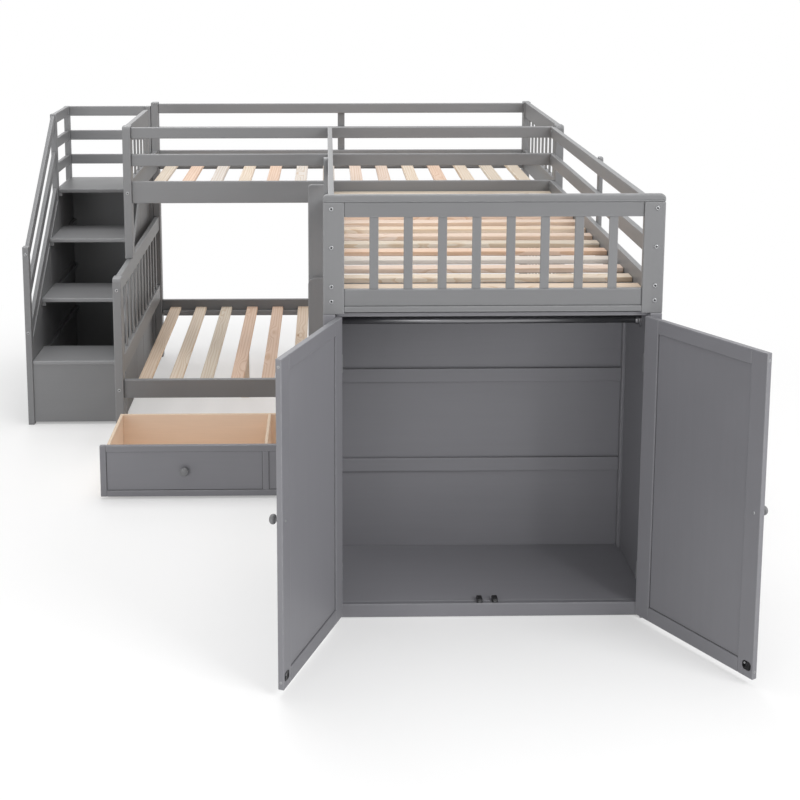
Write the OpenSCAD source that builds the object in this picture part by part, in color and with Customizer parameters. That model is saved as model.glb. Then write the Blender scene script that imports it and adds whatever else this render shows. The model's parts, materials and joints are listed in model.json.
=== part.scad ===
// L shaped bunk bed: a twin bunk over a full bed along the back, a twin loft at right angles
// over a wardrobe, stairs with a landing at the left and a drawer unit on wheels below.
// Lengths in mm. Shown with the drawer pulled out and both wardrobe doors open.

/* [Bunk] */
// Length of the bunk over its end frames
bunk_len = 1990; // [1960:5:2060]
// Clear width of the upper bed between its rails
twin_w = 1007; // [1000:1:1030]
// How far the lower bed stands out in front of the upper one
full_out = 390; // [380:1:410]
// Thickness of the end frame posts
post_t = 36; // [30:1:44]
// Depth of the end frame posts
post_d = 60; // [52:2:72]
// Thickness of bed rails, end rails and guard boards
rail_t = 22; // [18:1:26]
// Height of the lower end frames
end_h = 767; // [740:1:800]
// Height of the top rail of a lower end frame
end_top_h = 70; // [60:1:80]
// Underside of the low rail of a lower end frame
end_low_z = 318; // [314:1:340]
// Height of the low rail of a lower end frame
end_low_h = 82; // [70:1:90]
// Top of the upper end frames
upper_top = 1374; // [1368:1:1390]
// Height of the top board of an upper end frame
top_board_h = 80; // [70:1:100]
// Length of the left top board, which stops short at the way in from the landing
entry_y = 683; // [600:1:700]
// Width of the post beside the way in
entry_post_w = 36; // [30:1:44]
// Radius of the eased corners on posts and guard boards
ease_r = 14; // [6:1:20]

/* [Bed rails and slats] */
// Underside of the lower bed rails
low_rail_z = 230; // [226:1:236]
// Height of the lower bed rails
low_rail_h = 82; // [76:1:84]
// Underside of the upper and loft bed rails
up_rail_z = 1020; // [1010:1:1030]
// Height of the upper and loft bed rails
up_rail_h = 100; // [90:1:110]
// Top of the lower slats above the underside of their rails
low_deck = 44; // [42:1:52]
// Top of the upper slats above the underside of their rails
up_deck = 54; // [46:1:60]
// Width of a slat
slat_w = 57; // [50:1:70]
// Thickness of a slat
slat_t = 18; // [15:1:20]
// Number of slats in each bed
slat_count = 14; // [10:1:16]
// Gap between an end of the upper bed and its first slat
slat_end = 59.5; // [45:0.5:80]
// Gap between an end of the lower bed and its first slat
low_slat_end = 43.25; // [30:0.25:80]
// Gap between the loft's front end and its first slat
loft_slat_end = 84.25; // [70:0.25:100]
// Gap between the bunk's rail and the loft's last slat
loft_slat_back = 9.5; // [6:0.5:40]
// Thickness of the ledgers under the slat ends
ledger_t = 22; // [18:1:30]
// Height of the ledgers
ledger_h = 26; // [20:1:26]
// Side of a square leg under the middle of the lower bed
leg_side = 40; // [30:1:45]
// Slats between an end of the lower bed and the slat over a leg
leg_slat = 3; // [1:1:4]

/* [Spindles] */
// Width of a spindle or baluster
spindle_w = 28; // [22:1:34]
// Thickness of a spindle or baluster
spindle_t = 8; // [6:1:12]
// Number of spindles in a lower end frame
low_spindles = 12; // [8:1:14]
// Number of spindles in an upper end frame
up_spindles = 8; // [8:1:9]
// Number of balusters in the loft's front guard
loft_balusters_n = 8; // [5:1:10]
// Depth of a mortise
mortise = 12; // [8:1:16]
// Clearance round a spindle in its mortise
fit = 0.3; // [0.2:0.1:0.6]

/* [Guard boards] */
// Underside of the lower guard boards
guard_2_z = 1190; // [1180:1:1200]
// Height of the lower guard boards
guard_2_h = 54; // [46:1:60]
// Underside of the upper guard boards
guard_1_z = 1316; // [1310:1:1320]
// Height of the upper guard boards
guard_1_h = 50; // [44:1:52]
// Width of the posts that carry the guard boards at mid length
guard_post_w = 36; // [30:1:50]
// How far the loft's mid posts rise over the guard boards
guard_post_up = 6; // [2:1:8]
// How far the mid post at the back stops under the top of the guard boards
guard_post_down = 8; // [2:1:12]

/* [Loft] */
// Length of the loft from the bunk's front rail to its front face
loft_len = 1990; // [1970:5:2060]
// Clear width of the loft between its side rails
loft_clear = 991; // [980:1:1000]
// Thickness of the loft's side rails
loft_rail_t = 20; // [18:1:24]
// Height of the rail inside the loft's front end
loft_end_h = 64; // [56:1:100]
// How far the front stiles stand out past the side rails
stile_over = 16; // [12:1:18]
// Width of the front stiles
stile_w = 66; // [56:1:76]
// Height of the cap over the front guard
cap_h = 24; // [18:1:30]
// Height of the top cross rail under the cap
cross_top_h = 47; // [40:1:54]
// Underside of the low cross rail
cross_low_z = 1045; // [1042:1:1050]
// Height of the low cross rail
cross_low_h = 53; // [46:1:60]
// Height of the strip under the low cross rail
strip_h = 19; // [12:1:20]
// Setback of the cross rails behind the stiles
cross_back = 5; // [2:1:8]
// Width of the mid support boards
mid_w = 84; // [70:1:100]
// How far the upper mid support stands over the bed rails
mid_over = 47; // [40:1:60]

/* [Stairs] */
// Gap between the stairs and the bunk's end frame
stair_gap = 2.7; // [2.7:0.1:3.4]
// Width of the stairs over their posts
stair_w = 452; // [440:1:500]
// Thickness of the stair posts
stair_post_t = 28; // [24:1:34]
// Depth of the stair posts
stair_post_d = 38; // [34:1:42]
// Distance from tread front to tread front
step_run = 240; // [238:1:244]
// Thickness of treads and landing
tread_t = 19; // [16:1:22]
// Top of the first tread
tread_1_z = 302; // [290:1:310]
// Top of the second tread
tread_2_z = 535; // [520:1:545]
// Top of the third tread
tread_3_z = 773; // [760:1:780]
// Top of the landing
landing_z = 977; // [970:1:985]
// Depth of the first tread
tread_1_d = 261; // [250:1:280]
// Depth of the second tread
tread_2_d = 322; // [280:1:340]
// Depth of the third tread
tread_3_d = 345; // [300:1:360]
// Thickness of the stair side boards
side_t = 12; // [9:1:13]
// Width of the gap between side boards
side_gap = 4; // [2:1:6]
// Thickness of the stair back panel
stair_back_t = 12; // [9:1:15]
// Section of the cleats under the treads
cleat = 18; // [14:1:22]
// Thickness of the handrails and the landing's guard rails
hand_t = 18; // [15:1:22]
// Height of the handrails and guard rails
hand_h = 50; // [44:1:56]
// Top of the stair posts at the landing
stair_top = 1355; // [1350:1:1370]
// Top of the front stair post
newel_top = 834; // [830:1:850]
// Height from handrail to handrail where they meet the head post
hand_pitch = 182; // [176:1:184]
// Gap between the landing and its lowest guard rail
landing_gap = 75; // [72:1:90]

/* [Wardrobe] */
// Side of a square wardrobe post
ward_post = 38; // [34:1:42]
// Width of the wardrobe's rear posts across the back
ward_rear = 22; // [20:1:38]
// Depth of the wardrobe over its posts
ward_depth = 482; // [460:1:520]
// Thickness of the side and back panels
ward_panel_t = 10; // [8:1:12]
// Setback of the side panels from the outside of the posts
ward_set = 2; // [1:1:4]
// Top of the floor panel
ward_floor_z = 47; // [45:1:55]
// Thickness of the floor and top panels
ward_board_t = 12; // [10:1:16]
// Thickness of the front rail under the doors
ward_rail_t = 20; // [16:1:24]
// Height of the back battens
batten_h = 48; // [40:1:60]
// Underside of the low batten
batten_low_z = 329; // [300:1:360]
// Underside of the high batten
batten_high_z = 655; // [620:1:690]
// Radius of the hanging rod
rod_r = 12; // [10:0.5:14]
// Height of the hanging rod
rod_z = 935; // [900:1:950]

/* [Doors] */
// Thickness of a door
door_t = 18; // [16:1:20]
// Underside of a door
door_z = 24; // [20:1:28]
// Height of a door
door_h = 991; // [985:1:992]
// Width of a door stile
door_stile = 58; // [50:1:70]
// Height of a door rail
door_rail = 45; // [40:1:60]
// Thickness of a door or drawer panel
panel_t = 8; // [6:1:9]
// Depth of the grooves that hold the panels
groove = 7; // [5:1:9]
// Gap between the two closed doors
door_gap = 3; // [2:0.5:5]
// Opening of the left door as shown, in degrees
left_open = 111; // [100:1:125]
// Opening of the right door as shown, in degrees
right_open = 121; // [110:1:130]
// Outer radius of a hinge knuckle
knuckle_r = 4; // [3.6:0.1:4.4]
// Radius of a hinge pin
pin_r = 2; // [1.6:0.1:2.2]
// Thickness of a hinge leaf
leaf_t = 1; // [0.9:0.1:1.1]
// Gap between door and post that the leaves fill
hinge_gap = 2.5; // [2.4:0.1:2.8]
// Length of a hinge
hinge_h = 60; // [50:2:70]
// Distance from a hinge to the end of its door
hinge_end = 120; // [100:5:150]
// Width of a hinge leaf from the pin
leaf_w = 24; // [20:1:26]
// Largest radius of a door knob
door_knob_r = 15; // [12:1:17]
// How far a door knob stands out
door_knob_len = 31; // [25:0.5:34]
// Height of the door knobs
door_knob_z = 533; // [500:1:560]
// Distance from a door knob to the free edge
door_knob_x = 23; // [20:1:30]

/* [Drawer] */
// How far the drawer front stops short of the bunk's ends
drawer_in = 20; // [15:1:25]
// Top of the drawer front
drawer_top = 220; // [214:1:224]
// Underside of the drawer front
drawer_z = 10; // [8:1:14]
// Depth of the drawer box behind the front
drawer_deep = 400; // [360:5:420]
// Thickness of the drawer front
drawer_t = 18; // [16:1:20]
// Width of a drawer front stile
drawer_stile = 24.5; // [22:0.5:34]
// Height of the drawer front's top rail
drawer_rail_top = 26; // [22:1:32]
// Height of the drawer front's bottom rail
drawer_rail_low = 25; // [22:1:32]
// Gap between box side and end post
drawer_side_gap = 6; // [4:1:8]
// Thickness of the box boards
box_t = 12; // [10:1:14]
// Underside of the box boards
box_z = 30; // [29:1:32]
// Top of the box boards
box_top = 210; // [196:1:212]
// Thickness of the box bottom
bottom_t = 8; // [6:1:9]
// Travel of the drawer from shut to the place shown
drawer_travel = 531; // [500:1:531]
// Largest radius of a drawer knob
drawer_knob_r = 18; // [14:1:20]
// How far a drawer knob stands out
drawer_knob_len = 25.5; // [20:0.5:30]
// Radius of a wheel
wheel_r = 14; // [12:0.5:14]
// Width of a wheel
wheel_w = 16; // [12:1:18]
// Distance from the outer wheels to the ends of the drawer box
wheel_end = 158; // [120:2:180]
// Distance from the wheels to the front and back of the drawer box
wheel_in = 45; // [40:1:60]
// Radius of a wheel axle
axle_r = 3; // [2.5:0.1:3.5]
// Gap between a wheel and its cheeks
wheel_gap = 1; // [0.6:0.1:1.5]

/* [Fasteners] */
// Seam left between boards of one glued or screwed frame
seam = 0.2; // [0.1:0.05:0.3]
// Distance from a bolt to the edge of an upper bed rail
rail_bolt_in = 25; // [22:1:30]
// Distance from a bolt to the edge of a lower or loft bed rail
low_bolt_in = 22; // [20:1:26]
// Distance from the loft's lowest front bolts up from the underside of its rails
loft_bolt_low = 41; // [20:1:50]
// Distance from the loft's other front bolts down from the top of their rails
loft_bolt_high = 12; // [10:1:16]
// Distance from the loft's corner bolts down from the top of its rails
loft_bolt_top = 14; // [12:1:16]
// Distance from a corner bolt of the loft to the one below it
loft_bolt_step = 21; // [20:1:24]
// Radius of a bolt head
bolt_head_r = 7; // [6:0.5:8]
// Height of a bolt head
bolt_head_h = 2.4; // [2:0.2:3]
// Radius of a bolt shank
bolt_r = 3; // [2.5:0.1:3.2]
// Radius of a stack dowel
dowel_r = 5; // [4:0.5:6]
// Length of a stack dowel
dowel_len = 60; // [50:2:70]

/* [Hidden] */
in_0 = post_t;
in_1 = bunk_len - post_t;
rail_in = (post_d - rail_t) / 2;
back_y = rail_t + twin_w;
bunk_back = back_y + rail_t + rail_in;
front_low_y = -full_out;
end_front = front_low_y - rail_in;
bed_clear = in_1 - in_0;
slat_x0 = in_0 + slat_end;
slat_pitch = (bed_clear - 2 * slat_end - slat_w) / (slat_count - 1);
low_slat_x0 = in_0 + low_slat_end;
low_slat_pitch = (bed_clear - 2 * low_slat_end - slat_w) / (slat_count - 1);
low_top_z = low_rail_z + low_deck;
up_top_z = up_rail_z + up_deck;
end_x = [0, bunk_len - post_t];

loft_r = in_1;
loft_l = loft_r - loft_clear - 2 * loft_rail_t;
loft_x0 = loft_l - stile_over;
loft_x1 = loft_r + stile_over;
loft_front = -loft_len;
stile_back = loft_front + rail_t;
loft_deck_y = stile_back + loft_rail_t;
loft_slat_y0 = loft_deck_y + loft_slat_end;
loft_slat_pitch = (-loft_slat_y0 - loft_slat_back - slat_w) / (slat_count - 1);
loft_rail_x = [loft_l, loft_r - loft_rail_t];
loft_bolt_x = [loft_l + loft_rail_t / 2, loft_r - loft_rail_t / 2];
baluster_clear = loft_x1 - loft_x0 - 2 * stile_w;

stair_x1 = -stair_gap;
stair_x0 = stair_x1 - stair_w;
tread_x0 = stair_x0 + stair_post_t;
tread_x1 = stair_x1 - stair_post_t;
stair_y1 = bunk_back - rail_in - 2;
landing_y = 651;
stair_y0 = landing_y - 3 * step_run - 2;
tread_ys = [stair_y0, landing_y - 2 * step_run, landing_y - step_run];
tread_ds = [tread_1_d, tread_2_d, tread_3_d];
tread_zs = [tread_1_z, tread_2_z, tread_3_z];
newel_back = stair_y0 + stair_post_d;
head_back = landing_y + stair_post_d;
hand_run = landing_y - newel_back;
hand_slope = 0.7625;
hand_drop = hand_slope * hand_run;
hand_v = hand_h / cos(atan(hand_slope));
hand_x = stair_x0 + (stair_post_t - hand_t) / 2;
rail_3_low = stair_top - 3 - 2 * hand_pitch - hand_v;
rear_post_y = stair_y1 - stair_post_d;
side_xs = [tread_x0 - side_t, tread_x1];
guard_pitch = (stair_top - landing_z - landing_gap - hand_h) / 2;
side_z0 = 12;

ward_z1 = up_rail_z;
ward_y0 = loft_front;
ward_y1 = ward_y0 + ward_depth;
ward_in_0 = loft_x0 + ward_post;
ward_in_1 = loft_x1 - ward_post;
ward_panel_x = loft_x0 + ward_set;
ward_rear_0 = loft_x0 + ward_rear;
ward_rear_1 = loft_x1 - ward_rear;
ward_face_0 = ward_panel_x + ward_panel_t;
ward_face_1 = loft_x1 - ward_set - ward_panel_t;
ward_back_y = ward_y1 - ward_set - ward_panel_t;
door_back = ward_y0 + door_t;
rail_front = door_back + 1;
rail_back = rail_front + ward_rail_t;
rod_y = (ward_y0 + ward_post + ward_y1 - ward_post) / 2 + 4;

door_w = (ward_in_1 - ward_in_0 - 2 * hinge_gap - door_gap) / 2;
pin_dx = hinge_gap / 2;
pin_dy = knuckle_r + 0.5;
pin_y = ward_y0 - pin_dy;
pin_x = [ward_in_0 + pin_dx, ward_in_1 - pin_dx];
hinge_zs = [door_z + hinge_end, door_z + door_h - hinge_end - hinge_h];
seg = hinge_h / 5;
catch_x = 25;
strike_t = 1.2;
strike_w = 30;
strike_h = 26;

drawer_x0 = drawer_in;
drawer_len = bunk_len - 2 * drawer_in;
drawer_face = end_front - 0.8 - drawer_t - drawer_travel;
drawer_back_face = drawer_face + drawer_t;
drawer_end = drawer_back_face + drawer_deep;
drawer_panel_w = (drawer_len - 4 * drawer_stile) / 3;
drawer_step = drawer_panel_w + drawer_stile;
box_x0 = in_0 + drawer_side_gap;
box_x1 = in_1 - drawer_side_gap;
bottom_z = box_z + 4;
wheel_xs = [box_x0 + wheel_end, bunk_len / 2, box_x1 - wheel_end];
wheel_ys = [drawer_back_face + wheel_in, drawer_end - wheel_in];

knob_tip_r = door_knob_r * 0.55;
knob_far = door_w + pin_dx - door_knob_x + knob_tip_r;
x_max = pin_x[1] - knob_far * cos(right_open) + (door_knob_len - pin_dy) * sin(right_open);
y_min = pin_y - (door_w + pin_dx) * sin(left_open) + (pin_dy + door_t) * cos(left_open);
mid_x = (stair_x0 + x_max) / 2;
mid_y = (y_min + bunk_back) / 2;

paint = [0.52, 0.53, 0.54];
paint_dark = [0.44, 0.45, 0.46];
pine = [0.86, 0.74, 0.6];
ply = [0.8, 0.66, 0.53];
zinc = [0.8, 0.8, 0.82];
black = [0.12, 0.12, 0.13];

// ---- bolts: [position of the head's seat, direction of the shank, shank length] ----

loft_top_z = up_rail_z + up_rail_h;
loft_bolt_z = loft_top_z - loft_bolt_top;
bolts_end_x = [
    for (s = [0, 1], y = [rail_t / 2, back_y + rail_t / 2],
        z = [rail_bolt_in, up_rail_h - rail_bolt_in])
        [[s * bunk_len, y, up_rail_z + z], [1 - 2 * s, 0, 0], post_t + 40]];
bolts_low_x = [
    for (s = [0, 1], y = [front_low_y + rail_t / 2, back_y + rail_t / 2],
        z = [low_bolt_in, low_rail_h - low_bolt_in])
        [[s * bunk_len, y, low_rail_z + z], [1 - 2 * s, 0, 0], post_t + 40]];
bolts_guard_x = [
    for (s = [0, 1], y = [rail_t / 2, back_y + rail_t / 2],
        z = [guard_2_z + guard_2_h / 2, guard_1_z + guard_1_h / 2])
        [[s * bunk_len, y, z], [1 - 2 * s, 0, 0], post_t + 40]];
bolts_loft_front = [
    for (x = loft_bolt_x, z = [up_rail_z + loft_bolt_low, loft_top_z - loft_bolt_high,
        guard_2_z + guard_2_h - loft_bolt_high,
        guard_1_z + guard_1_h - loft_bolt_high])
        [[x, loft_front, z], [0, 1, 0], rail_t + 45]];
bolts_loft_left = [
    for (z = [loft_bolt_z - loft_bolt_step, loft_bolt_z, guard_2_z + guard_2_h / 2,
        guard_1_z + guard_1_h / 2])
        [[loft_bolt_x[0], rail_t, z], [0, -1, 0], rail_t + 45]];
bolts_loft_right = [
    for (z = [loft_bolt_z - loft_bolt_step, loft_bolt_z, guard_2_z + guard_2_h / 2 + 4,
        guard_1_z + guard_1_h / 2 + 4])
        [[loft_r - loft_rail_t, -rail_in / 2, z], [1, 0, 0], loft_rail_t + 25]];
bolts_end_front = [
    for (x = end_x, b = [[end_h - end_top_h / 2 - 18, post_d + 30],
        [low_rail_z + low_rail_h / 2, post_d - 12]])
        [[x + post_t / 2, end_front, b[0]], [0, 1, 0], b[1]]];
bolts_upper_front = [
    for (x = end_x) [[x + post_t / 2, -rail_in, up_rail_z + up_rail_h / 2], [0, 1, 0], post_d + 30]];
bolts_stair = [
    for (z = [stair_top - 3 - hand_drop - hand_v / 2, rail_3_low + hand_v / 2 - hand_drop])
        [[stair_x0 + stair_post_t / 2, stair_y0, z], [0, 1, 0], stair_post_d + 20]];
bolts_all = concat(bolts_end_x, bolts_low_x, bolts_guard_x, bolts_loft_front,
    bolts_loft_left, bolts_loft_right, bolts_end_front, bolts_upper_front, bolts_stair);

module toward(p, d) {
    translate(p) rotate([0, d[2] == 0 ? 90 : 0, atan2(d[1], d[0])]) children();
}

module bolt(b) {
    toward(b[0], b[1]) {
        translate([0, 0, -bolt_head_h]) cylinder(h = bolt_head_h, r = bolt_head_r, $fn = 12);
        cylinder(h = b[2], r = bolt_r, $fn = 8);
    }
}

module drilled(bolts) {
    difference() {
        children();
        for (b = bolts)
            toward(b[0], b[1]) translate([0, 0, -1])
                cylinder(h = b[2] + 1 + fit, r = (bolt_r + fit) / cos(22.5), $fn = 8);
    }
}

// ---- boards ----

module place() {
    translate([-mid_x, -mid_y, 0]) children();
}

module bar(x0, x1, y0, y1, z0, z1) {
    translate([x0, y0, z0]) cube([x1 - x0, y1 - y0, z1 - z0]);
}

function eased(cx, cy, r, a) =
    r == 0 ? [[cx, cy]] : [for (i = [0:4]) [cx + r * cos(a + i * 22.5), cy + r * sin(a + i * 22.5)]];

function outline(u0, u1, v0, v1, r) = concat(
    eased(u0 + r[0], v0 + r[0], r[0], 180), eased(u1 - r[1], v0 + r[1], r[1], 270),
    eased(u1 - r[2], v1 - r[2], r[2], 0), eased(u0 + r[3], v1 - r[3], r[3], 90));

// corners run from the low left one round by the low right, high right and high left ones
module board_xz(x0, x1, z0, z1, y0, y1, r) {
    translate([0, y1, 0]) rotate([90, 0, 0]) linear_extrude(y1 - y0)
        polygon(outline(x0, x1, z0, z1, r));
}

module board_yz(y0, y1, z0, z1, x0, x1, r) {
    translate([x0, 0, 0]) rotate([90, 0, 90]) linear_extrude(x1 - x0)
        polygon(outline(y0, y1, z0, z1, r));
}

module slope_yz(points, x0, x1) {
    translate([x0, 0, 0]) rotate([90, 0, 90]) linear_extrude(x1 - x0) polygon(points);
}

// ---- end frames ----

low_clear = bunk_back - post_d - (end_front + post_d);
low_gap = (low_clear - low_spindles * spindle_w) / (low_spindles + 1);
low_spindle_y = [for (i = [0:low_spindles - 1])
    end_front + post_d + low_gap + i * (low_gap + spindle_w)];
up_clear = bunk_back - post_d - (post_d - rail_in);
up_gap = (up_clear - up_spindles * spindle_w) / (up_spindles + 1);
up_spindle_y = [for (i = [0:up_spindles - 1])
    post_d - rail_in + up_gap + i * (up_gap + spindle_w)];
board_in = (post_t - rail_t) / 2;
spindle_in = (post_t - spindle_t) / 2;
left_spindles = len([for (y = up_spindle_y) if (y + spindle_w < entry_y - entry_post_w - 10) y]);

module dowel_bores() {
    for (x = end_x, y = [post_d / 2 - rail_in, bunk_back - post_d / 2])
        translate([x + post_t / 2, y, end_h - dowel_len / 2 - fit])
            cylinder(h = dowel_len + 2 * fit, r = dowel_r + fit, $fn = 16);
}

module lower_end_posts() {
    place() color(paint) drilled(concat(bolts_low_x, bolts_end_front)) difference() {
        for (x = end_x) {
            board_yz(end_front, end_front + post_d, 0, end_h, x, x + post_t, [0, 0, 0, ease_r]);
            bar(x, x + post_t, bunk_back - post_d, bunk_back, 0, end_h);
        }
        dowel_bores();
    }
}

module lower_end_rails() {
    place() color(paint) drilled(bolts_end_front) difference() {
        for (x = end_x, z = [[end_h - end_top_h, end_h], [end_low_z, end_low_z + end_low_h]])
            bar(x + board_in, x + board_in + rail_t, end_front + post_d, bunk_back - post_d,
                z[0], z[1]);
        for (x = end_x, y = low_spindle_y)
            bar(x + spindle_in - fit, x + spindle_in + spindle_t + fit, y - fit,
                y + spindle_w + fit, end_low_z + end_low_h - mortise - fit,
                end_h - end_top_h + mortise + fit);
        dowel_bores();
    }
}

module lower_end_spindles() {
    place() color(paint_dark) for (x = end_x, y = low_spindle_y)
        bar(x + spindle_in, x + spindle_in + spindle_t, y, y + spindle_w,
            end_low_z + end_low_h - mortise, end_h - end_top_h + mortise);
}

module stack_dowels() {
    place() color(zinc) for (x = end_x, y = [post_d / 2 - rail_in, bunk_back - post_d / 2])
        translate([x + post_t / 2, y, end_h - dowel_len / 2])
            cylinder(h = dowel_len, r = dowel_r, $fn = 16);
}

module upper_end_posts() {
    place() color(paint)
        drilled(concat(bolts_end_x, bolts_guard_x, bolts_upper_front, bolts_loft_right))
        difference() {
            union() {
                for (x = end_x) {
                    board_yz(-rail_in, post_d - rail_in, end_h, upper_top, x, x + post_t,
                        [0, 0, 0, ease_r]);
                    bar(x, x + post_t, bunk_back - post_d, bunk_back, end_h, upper_top);
                }
                board_yz(entry_y - entry_post_w, entry_y, up_rail_z + up_rail_h, upper_top,
                    board_in, board_in + rail_t, [0, 0, ease_r, 0]);
            }
            dowel_bores();
        }
}

module upper_end_boards() {
    y0 = post_d - rail_in;
    place() color(paint) drilled(bolts_upper_front) difference() {
        union() {
            for (x = end_x)
                bar(x + board_in, x + board_in + rail_t, y0, bunk_back - post_d,
                    up_rail_z, up_rail_z + up_rail_h);
            bar(board_in, board_in + rail_t, y0, entry_y - entry_post_w,
                upper_top - top_board_h, upper_top);
            bar(end_x[1] + board_in, end_x[1] + board_in + rail_t, y0, bunk_back - post_d,
                upper_top - top_board_h, upper_top);
        }
        for (s = [0, 1], i = [0:(s == 0 ? left_spindles : up_spindles) - 1])
            bar(end_x[s] + spindle_in - fit, end_x[s] + spindle_in + spindle_t + fit,
                up_spindle_y[i] - fit, up_spindle_y[i] + spindle_w + fit,
                up_rail_z + up_rail_h - mortise - fit, upper_top - top_board_h + mortise + fit);
    }
}

module upper_end_spindles() {
    place() color(paint_dark)
        for (s = [0, 1], i = [0:(s == 0 ? left_spindles : up_spindles) - 1])
            bar(end_x[s] + spindle_in, end_x[s] + spindle_in + spindle_t, up_spindle_y[i],
                up_spindle_y[i] + spindle_w, up_rail_z + up_rail_h - mortise,
                upper_top - top_board_h + mortise);
}

// ---- bed rails, slats and supports ----

module lower_bed_rails() {
    place() color(paint) drilled(bolts_low_x) for (y = [front_low_y, back_y])
        bar(in_0, in_1, y, y + rail_t, low_rail_z, low_rail_z + low_rail_h);
}

module lower_slats() {
    place() color(pine) for (i = [0:slat_count - 1])
        bar(low_slat_x0 + i * low_slat_pitch, low_slat_x0 + i * low_slat_pitch + slat_w,
            front_low_y + rail_t + 1, back_y - 1, low_top_z - slat_t, low_top_z);
}

module center_support() {
    mid = (front_low_y + rail_t + back_y) / 2;
    place() color(pine) for (i = [leg_slat, slat_count - 1 - leg_slat]) {
        x = low_slat_x0 + i * low_slat_pitch + slat_w / 2;
        bar(x - leg_side / 2, x + leg_side / 2, mid - leg_side / 2, mid + leg_side / 2,
            0, low_top_z - slat_t);
    }
}

module slat_ledgers() {
    z_low = low_top_z - slat_t - ledger_h;
    z_up = up_top_z - slat_t - ledger_h;
    place() color(paint) {
        for (y = [front_low_y + rail_t, back_y - ledger_t])
            bar(in_0 + 4, in_1 - 4, y, y + ledger_t, z_low, z_low + ledger_h);
        for (y = [rail_t, back_y - ledger_t])
            bar(in_0 + 4, in_1 - 4, y, y + ledger_t, z_up, z_up + ledger_h);
        for (x = [loft_l + loft_rail_t, loft_r - loft_rail_t - ledger_t])
            bar(x, x + ledger_t, loft_deck_y + 2, -2, z_up, z_up + ledger_h);
    }
}

module upper_bed_rails() {
    place() color(paint) drilled(concat(bolts_end_x, bolts_loft_left)) for (y = [0, back_y])
        bar(in_0, in_1, y, y + rail_t, up_rail_z, up_rail_z + up_rail_h);
}

module upper_slats() {
    place() color(pine) for (i = [0:slat_count - 1])
        bar(slat_x0 + i * slat_pitch, slat_x0 + i * slat_pitch + slat_w,
            rail_t + 1, back_y - 1, up_top_z - slat_t, up_top_z);
}

// ---- guards and mid supports ----

module front_guard_rails() {
    place() color(paint) drilled(concat(bolts_guard_x, bolts_loft_left)) {
        board_xz(in_0, in_1, guard_2_z, guard_2_z + guard_2_h, 0, rail_t, [0, 0, ease_r, 0]);
        board_xz(in_0, in_1, guard_1_z, guard_1_z + guard_1_h, 0, rail_t, [0, 0, ease_r, 0]);
    }
}

module back_guard_rails() {
    place() color(paint) drilled(bolts_guard_x) {
        bar(in_0, in_1, back_y, back_y + rail_t, guard_2_z, guard_2_z + guard_2_h);
        bar(in_0, in_1, back_y, back_y + rail_t, guard_1_z, guard_1_z + guard_1_h);
    }
}

module guard_mid_posts() {
    top = guard_1_z + guard_1_h;
    mid = loft_front / 2;
    place() color(paint) {
        board_xz(bunk_len / 2 - guard_post_w / 2, bunk_len / 2 + guard_post_w / 2, up_rail_z,
            top - guard_post_down, back_y + rail_t, bunk_back, [0, 0, 8, 8]);
        for (x = [loft_x0, loft_r])
            board_yz(mid - guard_post_w / 2, mid + guard_post_w / 2, up_rail_z,
                top + guard_post_up, x, x + stile_over, [0, 0, 8, 8]);
    }
}

module mid_support_lower() {
    place() color(paint)
        board_xz(loft_l - 1 - mid_w, loft_l - 1, low_rail_z, end_h, front_low_y - rail_t,
            front_low_y, [0, 0, 0, 2 * ease_r]);
}

module mid_support_upper() {
    x1 = loft_l;
    place() color(paint)
        board_xz(x1 - mid_w, x1, low_rail_z + low_rail_h, up_rail_z + up_rail_h + mid_over, front_low_y,
            front_low_y + rail_t, [0, 0, 0, ease_r]);
}

// ---- loft ----

module loft_side_rails() {
    place() color(paint) drilled(concat(bolts_loft_front, bolts_loft_left, bolts_loft_right))
        for (x = loft_rail_x)
            bar(x, x + loft_rail_t, stile_back, 0, up_rail_z, up_rail_z + up_rail_h);
}

module loft_end_rail() {
    place() color(paint)
        bar(loft_l + loft_rail_t, loft_r - loft_rail_t, stile_back, loft_deck_y,
            up_rail_z, up_rail_z + loft_end_h);
}

module loft_slats() {
    place() color(pine) for (i = [0:slat_count - 1])
        bar(loft_l + loft_rail_t + 1, loft_r - loft_rail_t - 1, loft_slat_y0 + i * loft_slat_pitch,
            loft_slat_y0 + i * loft_slat_pitch + slat_w, up_top_z - slat_t, up_top_z);
}

module loft_guard_rails() {
    place() color(paint) drilled(concat(bolts_loft_front, bolts_loft_left, bolts_loft_right))
        for (x = loft_rail_x) {
            bar(x, x + loft_rail_t, stile_back, 0, guard_2_z, guard_2_z + guard_2_h);
            bar(x, x + loft_rail_t, stile_back, 0, guard_1_z, guard_1_z + guard_1_h);
        }
}

module loft_stiles() {
    place() color(paint) drilled(bolts_loft_front)
        for (x = [loft_x0, loft_x1 - stile_w])
            bar(x, x + stile_w, loft_front, stile_back, up_rail_z, upper_top);
}

module loft_cap() {
    place() color(paint)
        board_xz(loft_x0, loft_x1, upper_top, upper_top + cap_h, loft_front, stile_back,
            [0, 0, ease_r, ease_r]);
}

baluster_gap = (baluster_clear - loft_balusters_n * spindle_w) / (loft_balusters_n + 1);
baluster_x = [for (i = [0:loft_balusters_n - 1])
    loft_x0 + stile_w + baluster_gap + i * (baluster_gap + spindle_w)];
baluster_y = (loft_front + cross_back + stile_back) / 2 - spindle_t / 2;

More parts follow.
